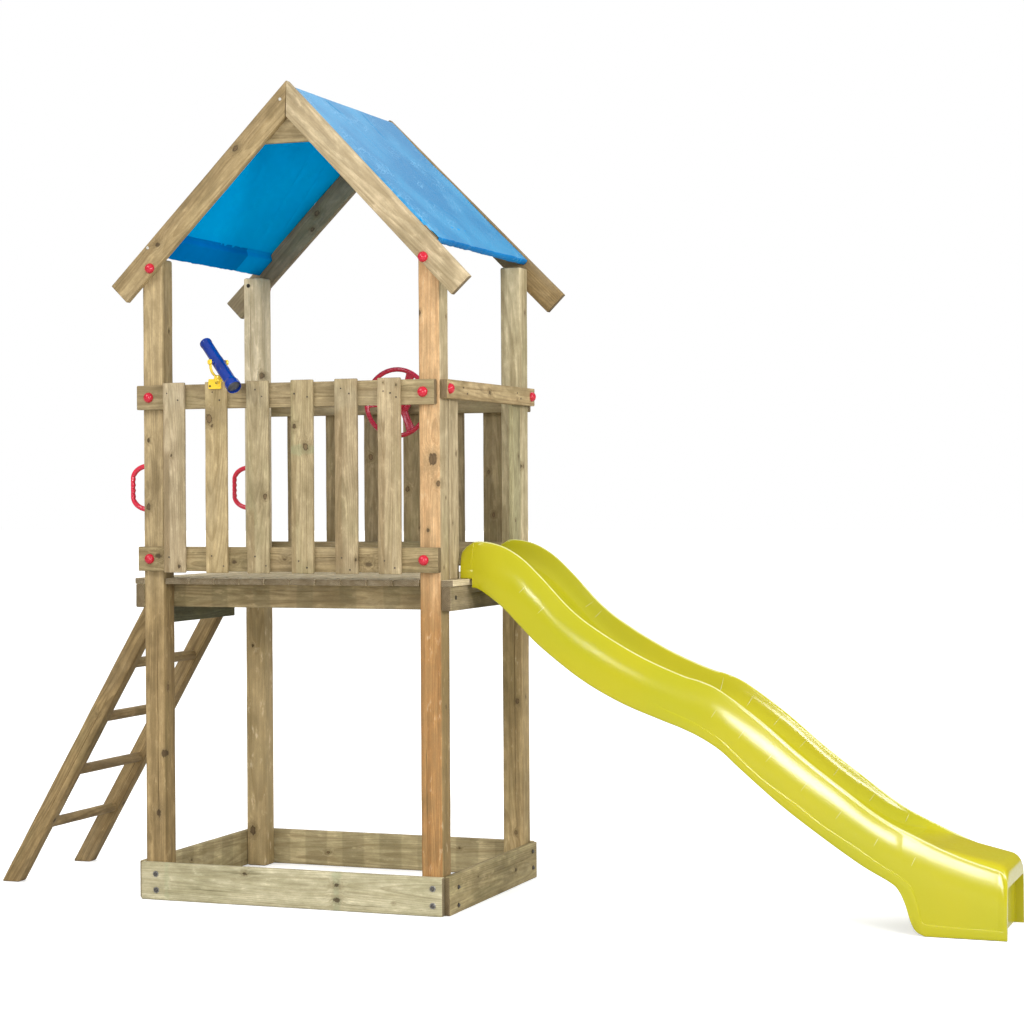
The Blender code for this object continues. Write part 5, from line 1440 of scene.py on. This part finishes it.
BF = -(HALF_D + 0.027) - 0.0005
bolts("base_bolts_front", [(-.545, BF, .097), (-.543, BF, .037), (.572, BF, .100), (.572, BF, .039)],
      (0, -1, 0), zinc_mat)
bolts("base_bolts_back", [(-.545, -BF, .099), (-.543, -BF, .038), (.570, -BF, .098), (.572, -BF, .040)],
      (0, 1, 0), zinc_mat)
bolts("base_bolts_right", [(.6275, -.375, .093), (.6275, -.376, .028), (.6275, .404, .109), (.6275, .409, .045)],
      (1, 0, 0), nail_mat, 0.0085, 0.0050)
bolts("base_bolts_left", [(-.6275, -.377, .095), (-.6275, -.375, .030), (-.6275, .404, .105), (-.6275, .405, .042)],
      (-1, 0, 0), nail_mat, 0.0085, 0.0050)
# painted shade: the empty countersunk holes are near-black discs for the shade inside them
hole_shade_mat = metal("screw_hole_painted_shade", (0.016, 0.012, 0.009), (0.035, 0.028, 0.020), 0.7, 0.2)
heads("countersunk_holes", [(0.6373, -0.407, 1.137)], (1, 0, 0), 0.0082, 0.0008, hole_shade_mat, 0.55)
heads("countersunk_hole_post", [(-0.578, 0.374 - 0.0004, 2.359)], (0, -1, 0), 0.0082, 0.0008, hole_shade_mat, 0.55)

# ------------------------------------------------------------------ bolt caps
cap_mat = plastic("red_cap_plastic", (0.540, 0.008, 0.030), (0.480, 0.006, 0.024), 0.28, 0.3, 0.10,
                  0.00003, 20.0, (0.56, 0.03, 0.05))
CAPS = []
for nm, x, z in (("top_left", -0.561, 1.8735), ("top_right", 0.545, 1.8735),
                 ("bottom_left", -0.561, 1.2725), ("bottom_right", 0.545, 1.2725)):
    CAPS.append(("rail_bolt_" + nm, (x, -0.4853, z), (0, -1, 0)))
for nm, x, y in (("front_left", -0.552, -0.4853), ("front_right", 0.549, -0.4853),
                 ("back_left", -0.552, 0.4853), ("back_right", 0.549, 0.4853)):
    CAPS.append(("roof_bolt_" + nm, (x, y, 2.354), (0, math.copysign(1, y), 0)))
for nm, y in (("front", -0.432), ("back", 0.419)):
    CAPS.append(("side_bolt_" + nm, (0.6283, y, 1.8855), (1, 0, 0)))
for nm, p, ax in CAPS:
    bm = bmesh.new()
    R, H = 0.0190, 0.0170
    prof = [(0.0, 0.0), (R - 0.0008, 0.0), (R, 0.0008), (R, 0.0030), (R - 0.0007, 0.0040)]
    for k in range(1, 11):
        a = math.radians(90 * k / 10)
        prof.append((max((R - 0.0009) * math.cos(a), 0.0), 0.0042 + (H - 0.0042) * math.sin(a)))
    lathe(bm, prof, T(*p), ax, sides=44)
    shank_in = 0.088
    lathe(bm, [(0.0, -shank_in + 0.001), (0.0036, -shank_in + 0.001), (0.0040, -shank_in + 0.0018),
               (0.0040, 0.0004)], T(*p), ax, sides=20, mat=1)
    bmesh.ops.recalc_face_normals(bm, faces=bm.faces)
    finish_object(nm + "_cap", bm, [cap_mat, steel_mat], "tower", [nm], 35)

# --------------------------------------------------------------- grab handles
handle_mat = plastic("red_handle_plastic", (0.650, 0.018, 0.050), (0.585, 0.014, 0.042), 0.30, 0.35, 0.12,
                     0.00004, 12.0, (0.72, 0.09, 0.13))
for place, sy in (("front", -1), ("back", 1)):
    y = sy * 0.4155
    face = -HALF_W - GAP
    h = 0.082
    path, rad = [], []
    ang = [90 * k / 20 for k in range(21)]
    up_half = [(face - 0.0009 - (0.067 - 0.0009) * math.sin(math.radians(a)),
                0.034 + (h - 0.034) * math.cos(math.radians(a))) for a in ang]
    straight = [(up_half[-1][0], 0.034 - 0.068 * f) for f in np.linspace(0, 1, 27)[1:-1]]
    full = up_half + straight + [(px, -pz) for px, pz in reversed(up_half)]
    for px, pz in full:
        grip = 1.0
        if abs(pz) < 0.036:
            grip = 1 - 0.055 * (0.5 - 0.5 * math.cos(2 * math.pi * pz / 0.0165 + math.pi)) \
                * min(1, (0.036 - abs(pz)) / 0.006)
        rad.append(0.0095 * grip)
        path.append(T(px, y, 1.538 + pz))
    bm = bmesh.new()
    sweep(bm, path, rad, sides=36)
    # finger scallops on the inner side of the grip
    for v in bm.verts:
        z = v.co.z - 1.538
        if abs(z) < 0.047:
            mid = face - 0.067 - ORIGIN[0]
            inward = (v.co.x - mid) / 0.0095
            if 0 < inward < 1.6:
                v.co.x -= 0.0034 * min(inward, 1.0) * (0.5 + 0.5 * math.cos(2 * math.pi * z / 0.0215)) \
                    * min(1, (0.047 - abs(z)) / 0.006)
    for up in (-1, 1):
        n, ring0 = 40, []
        prof_d = [0.0, 0.0007, 0.0048, 0.0060]
        inset = [0.0, 0.0, 0.0, 0.0012]
        rings = []
        for d, ins in zip(prof_d, inset):
            ring = []
            for k in range(n):
                a = 2 * math.pi * k / n
                cy_, cz_ = math.cos(a), math.sin(a)
                e = 0.42
                yy = (0.0150 - ins) * math.copysign(abs(cy_) ** e, cy_)
                zz = (0.0220 - ins) * math.copysign(abs(cz_) ** e, cz_)
                ring.append(T(face - d, y + yy, 1.538 + up * 0.091 + zz))
            rings.append(ring)
        bm_loft(bm, rings)
        lathe(bm, [(0.0, 0.0058), (0.0046, 0.0058), (0.0046, 0.0068), (0.0038, 0.0076),
                   (0.0020, 0.0079), (0.0017, 0.0062), (0.0, 0.0062)],
              T(face, y, 1.538 + up * 0.1015), (-1, 0, 0), sides=24, mat=1)
    bmesh.ops.recalc_face_normals(bm, faces=bm.faces)
    finish_object("grab_handle_%s_moulded" % place, bm, [handle_mat, nail_mat], "tower",
                  ["grab_handle_" + place], 40)

# -------------------------------------------------------------- steering wheel
WX, WZ, WY = 0.077, 1.872, 0.457
wheel_mat = plastic("crimson_wheel_plastic", (0.430, 0.010, 0.035), (0.370, 0.008, 0.028), 0.28, 0.4, 0.10,
                    0.00004, 9.0, (0.50, 0.04, 0.07))
bm = bmesh.new()
WR, WT, WP = 0.1315, 0.0095, 0.372
path = [T(WX + WR * math.cos(a), WP, WZ + WR * math.sin(a))
        for a in (2 * math.pi * k / 120 for k in range(120))]
rad = [WT * (0.985 + 0.015 * math.cos(k * 2 * math.pi / 120 * 30)) for k in range(120)]
sweep(bm, path, rad, sides=28, closed=True)
sweep_hub = [(0.0088, 0.0094), (0.0250, 0.0094), (0.0268, 0.0110), (0.0268, 0.0490), (0.0300, 0.0505),
             (0.0440, 0.0512), (0.0466, 0.0535), (0.0468, 0.0610), (0.0452, 0.0640), (0.0415, 0.0650),
             (0.0395, 0.0638), (0.0365, 0.0636), (0.0340, 0.0650), (0.0275, 0.0665), (0.0262, 0.0722),
             (0.0250, 0.0728), (0.0120, 0.0728), (0.0088, 0.0718)]
prof = round_profile(sweep_hub, 0.0010, 3)
rings = []
for r, d in prof + [prof[0]]:
    rings.append([T(WX + r * math.cos(2 * math.pi * k / 64), WY - d, WZ + r * math.sin(2 * math.pi * k / 64))
                  for k in range(64)])
vs = bm_loft(bm, rings, cap=False)
bmesh.ops.remove_doubles(bm, verts=vs[0] + vs[-1], dist=1e-7)
for deg in (180, 62, -62):
    a = math.radians(deg)
    ca, sa = math.cos(a), math.sin(a)
    rings = []
    for f in np.linspace(0, 1, 15):
        r = 0.040 + (WR - 0.002 - 0.040) * f
        y0 = (WY - 0.058) + (WP - (WY - 0.058)) * f
        w = 0.0150 * (1 + 0.35 * f ** 2.2) * (1 - 0.06 * math.sin(math.pi * f))
        th = 0.0052
        ring = []
        for k in range(28):
            q = 2 * math.pi * k / 28
            e = 0.55
            u = w * math.copysign(abs(math.cos(q)) ** e, math.cos(q))
            v = th * math.copysign(abs(math.sin(q)) ** e, math.sin(q))
            # a shallow channel along the spoke's face
            if v < 0:
                v += 0.0020 * max(0.0, 1 - (u / (w * 0.55)) ** 2) * math.sin(math.pi * min(1, max(0, f * 1.05)))
            ring.append(T(WX + r * ca - u * sa, y0 + v, WZ + r * sa + u * ca))
        rings.append(ring)
    bm_loft(bm, rings)
bmesh.ops.recalc_face_normals(bm, faces=bm.faces)
finish_object("steering_wheel_moulded", bm, wheel_mat, "wheel", ["steering_wheel"], 40)
bm = bmesh.new()
lathe(bm, round_profile([(0.0, 0.0), (0.027, 0.0), (0.027, 0.0082), (0.0200, 0.0085), (0.0078, 0.0085),
                         (0.0078, 0.0735), (0.0122, 0.0735), (0.0125, 0.0775), (0.0105, 0.0785),
                         (0.0060, 0.0785), (0.0052, 0.0760)], 0.0007, 3) + [(0.0, 0.0760)],
      T(WX, WY, WZ), (0, -1, 0), sides=44)
for k in range(3):
    a = 2 * math.pi * k / 3 + 0.5
    lathe(bm, [(0.0, 0.0080), (0.0036, 0.0080), (0.0034, 0.0094), (0.0015, 0.0100), (0.0012, 0.0088), (0.0, 0.0088)],
          T(WX + 0.0215 * math.cos(a), WY, WZ + 0.0215 * math.sin(a)), (0, -1, 0), sides=16)
bmesh.ops.recalc_face_normals(bm, faces=bm.faces)
finish_object("wheel_spindle_turned", bm, steel_mat, "tower", ["wheel_spindle"], 35)

# ------------------------------------------------------------------- telescope
yellow = plastic("yellow_toy_plastic", (0.900, 0.620, 0.035), (0.860, 0.580, 0.030), 0.30, 0.4, 0.10,
                 0.00003, 18.0, (0.90, 0.70, 0.18))
navy = plastic("navy_toy_plastic", (0.002, 0.030, 0.260), (0.001, 0.022, 0.190), 0.20, 0.5, 0.06,
               0.00003, 14.0)
lens_mat = plastic("smoked_lens_plastic", (0.060, 0.066, 0.080), (0.040, 0.045, 0.055), 0.10, 0.8, 0.04,
                   0.00002, 30.0)
rubber = plastic("black_eyepiece_plastic", (0.018, 0.018, 0.022), (0.028, 0.028, 0.032), 0.55, 0.1, 0.3,
                 0.0002, 40.0)
PX, PY, TZ = -0.244, -0.535, 1.995
pan, tilt = math.radians(56.2), math.radians(38.8)
pivot = Vector((math.cos(pan), math.sin(pan), 0))
aim = Vector((math.sin(pan) * math.cos(tilt), -math.cos(pan) * math.cos(tilt), -math.sin(tilt)))
bm = bmesh.new()
tube_prof = round_profile([
    (0.0245, 0.143), (0.0252, 0.1545), (0.0268, 0.155), (0.0275, 0.153), (0.0275, 0.131), (0.0262, 0.1265),
    (0.0228, 0.1155), (0.0226, 0.1120), (0.0226, 0.060), (0.0219, 0.0592), (0.0219, 0.0572), (0.0226, 0.0564),
    (0.0226, -0.0105), (0.0214, -0.0125), (0.0214, -0.0700), (0.0208, -0.0708), (0.0208, -0.0728),
    (0.0214, -0.0736), (0.0214, -0.1105), (0.0228, -0.1128), (0.0228, -0.1212), (0.0216, -0.1230),
    (0.0125, -0.1230), (0.0110, -0.1220), (0.0110, -0.1150)], 0.0006, 3)
lathe(bm, [(0.0, 0.1428)] + tube_prof + [(0.0, -0.1150)], T(PX, PY, TZ), aim, sides=56)
c = T(PX, PY, TZ)
for k in (-1, 1):
    lathe(bm, round_profile([(0.0, 0.012), (0.0085, 0.012), (0.0085, 0.0282), (0.0036, 0.0284),
                             (0.0036, 0.0380)], 0.0005, 2) + [(0.0, 0.0380)], c, pivot * k, sides=32)
lathe(bm, [(0.0, 0.1434), (0.0243, 0.1434), (0.0243, 0.1442), (0.0200, 0.1458), (0.0120, 0.1472),
           (0.0, 0.1476)], T(PX, PY, TZ), aim, sides=48, mat=1)
lathe(bm, [(0.0, -0.1152), (0.0108, -0.1152), (0.0106, -0.1160), (0.0, -0.1164)], T(PX, PY, TZ), aim,
      sides=32, mat=2)
bmesh.ops.recalc_face_normals(bm, faces=bm.faces)
finish_object("telescope_tube_moulded", bm, [navy, lens_mat, rubber], "telescope", ["telescope_tube"],
              35)

bm = bmesh.new()
side_dir = pivot
fwd_dir = Vector((-math.sin(pan), math.cos(pan), 0))
arm_in, arm_t = 0.0290, 0.005


def fork_point(off, u):
    """u from -1 (one arm's top) through 0 (the foot's middle) to 1."""
    hw = arm_in + off
    top, bottom = TZ + 0.009, 1.9450 - off
    mid = TZ - 0.012
    sgn = 1 if u >= 0 else -1
    q = abs(u)
    if q > 0.75:
        return (sgn * hw, mid + (top - mid) * (q - 0.75) / 0.25)
    a = math.radians(90 * (1 - q / 0.75))
    return (sgn * hw * math.cos(a), mid - (mid - bottom) * math.sin(a))


rings = []
for u in np.linspace(-1, 1, 65):
    oi, oo = fork_point(0.0002, u), fork_point(arm_t, u)
    ring = []
    wdt = 0.0068 + 0.0002 * (abs(u) > 0.8)
    corner = 0.0010
    pts = []
    for (fa, wa) in ((1, -1), (1, 1), (0, 1), (0, -1)):
        for k in range(3):
            t = k / 2
            # rounded corners of the strip's section
            if (fa, wa) == (1, -1):
                f = 1 - corner / arm_t * (1 - t) ** 1.5
                w = -wdt + corner * t ** 1.5
            elif (fa, wa) == (1, 1):
                f = 1 - corner / arm_t * t ** 1.5
                w = wdt - corner * (1 - t) ** 1.5
            elif (fa, wa) == (0, 1):
                f = corner / arm_t * (1 - t) ** 1.5
                w = wdt - corner * t ** 1.5
            else:
                f = corner / arm_t * t ** 1.5
                w = -wdt + corner * (1 - t) ** 1.5
            pts.append((f, w))
    for f, w in pts:
        px_ = oi[0] + (oo[0] - oi[0]) * f
        pz_ = oi[1] + (oo[1] - oi[1]) * f
        p = Vector((PX, PY, 0)) + side_dir * px_ + fwd_dir * w
        ring.append(T(p.x, p.y, pz_))
    rings.append(ring)
bm_loft(bm, rings)
# foot: a ring that turns on the bracket's pin
lathe(bm, round_profile([(0.0072, 1.9364), (0.0148, 1.9364), (0.0148, 1.9446), (0.0072, 1.9446)], 0.0006, 2),
      T(PX, PY, 0), (0, 0, 1), sides=44)
for k in (-1, 1):
    # knobs with a recessed centre that the tube's pins end in
    lathe(bm, round_profile([(0.0042, arm_in + 0.0012), (0.0098, arm_in + 0.0012), (0.0100, arm_in + 0.0085),
                             (0.0088, arm_in + arm_t + 0.0058), (0.0052, arm_in + arm_t + 0.0060),
                             (0.0044, arm_in + arm_t + 0.0052)], 0.0008, 3)
          + [(0.0, arm_in + arm_t + 0.0050)], c, pivot * k, sides=40)
bmesh.ops.recalc_face_normals(bm, faces=bm.faces)
finish_object("telescope_fork_moulded", bm, yellow, "fork", ["telescope_fork"], 40)

bm = bmesh.new()
pf = -0.5029
bx0, bx1, bz0, bz1 = -0.299, -0.249, 1.899, 1.936


def rrect(cx, cz, hx, hz, r, y, n=5):
    out = []
    for sx, sz, a0 in ((1, 1, 0), (-1, 1, 90), (-1, -1, 180), (1, -1, 270)):
        for k in range(n + 1):
            a = math.radians(a0 + 90 * k / n)
            out.append(T(cx + sx * (hx - r) + r * math.cos(a), y, cz + sz * (hz - r) + r * math.sin(a)))
    return out


cx, cz, hx, hz = (bx0 + bx1) / 2, (bz0 + bz1) / 2, 0.025, 0.0185
bm_loft(bm, [rrect(cx, cz, hx, hz, 0.0045, pf - 0.0001), rrect(cx, cz, hx, hz, 0.0045, pf - 0.0052),
             rrect(cx, cz, hx - 0.0007, hz - 0.0007, 0.0040, pf - 0.0060)])
# ledge that carries the seat, with a rounded front edge
rings = []
for x in (-0.260, -0.2592, -0.2498, -0.249):
    ins = 0.0008 if x in (-0.260, -0.249) else 0.0
    rings.append([T(x, -0.535 + ins, 1.924 + ins), T(x, pf - 0.003, 1.924 + ins),
                  T(x, pf - 0.003, 1.936 - ins), T(x, -0.535 + ins, 1.936 - ins)])
bm_loft(bm, rings)
lathe(bm, round_profile([(0.0, 1.9242), (0.0158, 1.9242), (0.0160, 1.9358), (0.0040, 1.9359), (0.0038, 1.9450),
                         (0.0064, 1.9453), (0.0065, 1.9470), (0.0052, 1.9479)], 0.0005, 2) + [(0.0, 1.9479)],
      T(PX, PY, 0), (0, 0, 1), sides=40)
# brace under the ledge
rings = []
for x in (-0.2580, -0.2535):
    rings.append([T(x, pf - 0.005, 1.9245), T(x, pf - 0.005, 1.9050), T(x, -0.527, 1.9245)])
bm_loft(bm, rings)
for sx, sz in ((-0.0180, -0.0075), (0.0085, 0.0035)):
    lathe(bm, [(0.0, 0.0058), (0.0040, 0.0058), (0.0040, 0.0066), (0.0030, 0.0075), (0.0016, 0.0078),
               (0.0012, 0.0064), (0.0, 0.0064)], T(cx + sx, pf, cz + sz), (0, -1, 0), sides=20, mat=1)
bmesh.ops.recalc_face_normals(bm, faces=bm.faces)
finish_object("telescope_bracket_moulded", bm, [yellow, nail_mat], "tower", ["telescope_bracket"],
              40)

# ----------------------------------------------------------- floor, light, camera
floor_mat = bpy.data.materials.new("studio_floor")
floor_mat.use_nodes = True
t = floor_mat.node_tree
t.nodes.clear()
P = node(t, "TexCoord").outputs["Object"]
n1, _ = noise_of(t, P, 0.7, 2.0)
tone = mix(t, n1, (0.800, 0.800, 0.800), (0.820, 0.820, 0.820))
dull = mix(t, n1, (0.520, 0.515, 0.500), (0.540, 0.535, 0.520))
lp = node(t, "LightPath")
pale = node(t, "BsdfDiffuse", {}, {"Color": mix(t, lp.outputs["Is Camera Ray"], dull, tone)}).outputs[0]
glow = node(t, "Emission", {}, {"Color": (1, 1, 1, 1),
                                "Strength": calc(t, "MULTIPLY", lp.outputs["Is Camera Ray"], 0.42)}).outputs[0]
both = node(t, "AddShader", {}, {0: pale, 1: glow}).outputs[0]
node(t, "OutputMaterial", {}, {"Surface": both})
bpy.ops.mesh.primitive_plane_add(size=160, location=(0, 0, -0.0008))
floor = bpy.context.active_object
floor.name = "studio_floor"
floor.data.materials.append(floor_mat)

# a bright room for the eye and for soft light, and a dimmer one for reflections
world = bpy.data.worlds.new("studio")
scene.world = world
world.use_nodes = True
t = world.node_tree
t.nodes.clear()
lp = node(t, "LightPath")
seen = lp.outputs["Is Camera Ray"]
shine = lp.outputs["Is Glossy Ray"]
d = node(t, "SeparateXYZ", {}, {0: node(t, "TexCoord").outputs["Generated"]})
lift = smooth(t, d.outputs[2], -0.2, 0.9, AMBIENT * 0.80, AMBIENT * 1.25)
strength = mix_value(t, shine, lift, smooth(t, d.outputs[2], 0.10, 0.90, 0.17, 0.42))
strength = mix_value(t, seen, strength, 1.0)
node(t, "OutputWorld", {}, {"Surface": node(t, "Background", {}, {
    "Color": (1, 1, 1, 1), "Strength": strength}).outputs[0]})


def softbox(name, place, aim_at, size, power, size_y=None):
    d = bpy.data.lights.new(name, "AREA")
    d.shape = "RECTANGLE"
    d.size = size
    d.size_y = size_y or size
    d.energy = power
    o = bpy.data.objects.new(name, d)
    scene.collection.objects.link(o)
    o.location = place
    o.visible_camera = False
    o.rotation_euler = (Vector(aim_at) - Vector(place)).to_track_quat("-Z", "Y").to_euler()
    return o


softbox("key_front_left", (-3.6, -5.6, 5.6), (-0.4, 0, 1.2), 2.4, 150)
softbox("front_strip_low", (0.78, -7.4, 1.38), (1.3, -0.3, 0.5), 1.30, 75, 0.72)
softbox("front_strip_high", (1.75, -7.4, 2.85), (1.3, -0.2, 0.6), 1.15, 60, 0.80)
softbox("front_spot", (-1.10, -7.4, 2.05), (0.36, -0.3, 1.0), 0.24, 9.0)
softbox("side_right", (6.5, -1.2, 3.6), (0.0, 0, 1.9), 2.0, 150)
softbox("upper_fill", (4.6, -3.4, 2.7), (-0.5, -0.4, 2.1), 1.1, 105)
softbox("top_back", (-1.0, 4.5, 6.5), (0.0, 0, 1.0), 3.0, 60)

cam = bpy.data.cameras.new("camera")
cam.lens = 83.51
cam.sensor_width = 36.0
cam.clip_end = 200
camera = bpy.data.objects.new("camera", cam)
scene.collection.objects.link(camera)
yaw, pitch, roll = 0.3578, -0.0082, -0.0057
fwd = Vector((-math.sin(yaw) * math.cos(pitch), math.cos(yaw) * math.cos(pitch), math.sin(pitch)))
right = Vector((math.cos(yaw), math.sin(yaw), 0))
up = right.cross(fwd)
r2 = right * math.cos(roll) + up * math.sin(roll)
u2 = -right * math.sin(roll) + up * math.cos(roll)
mw = Matrix((r2, u2, -fwd)).transposed().to_4x4()
mw.translation = Vector((3.1872, -8.2450, 1.5123))
camera.matrix_world = mw
scene.camera = camera
scene.view_settings.view_transform = "Standard"
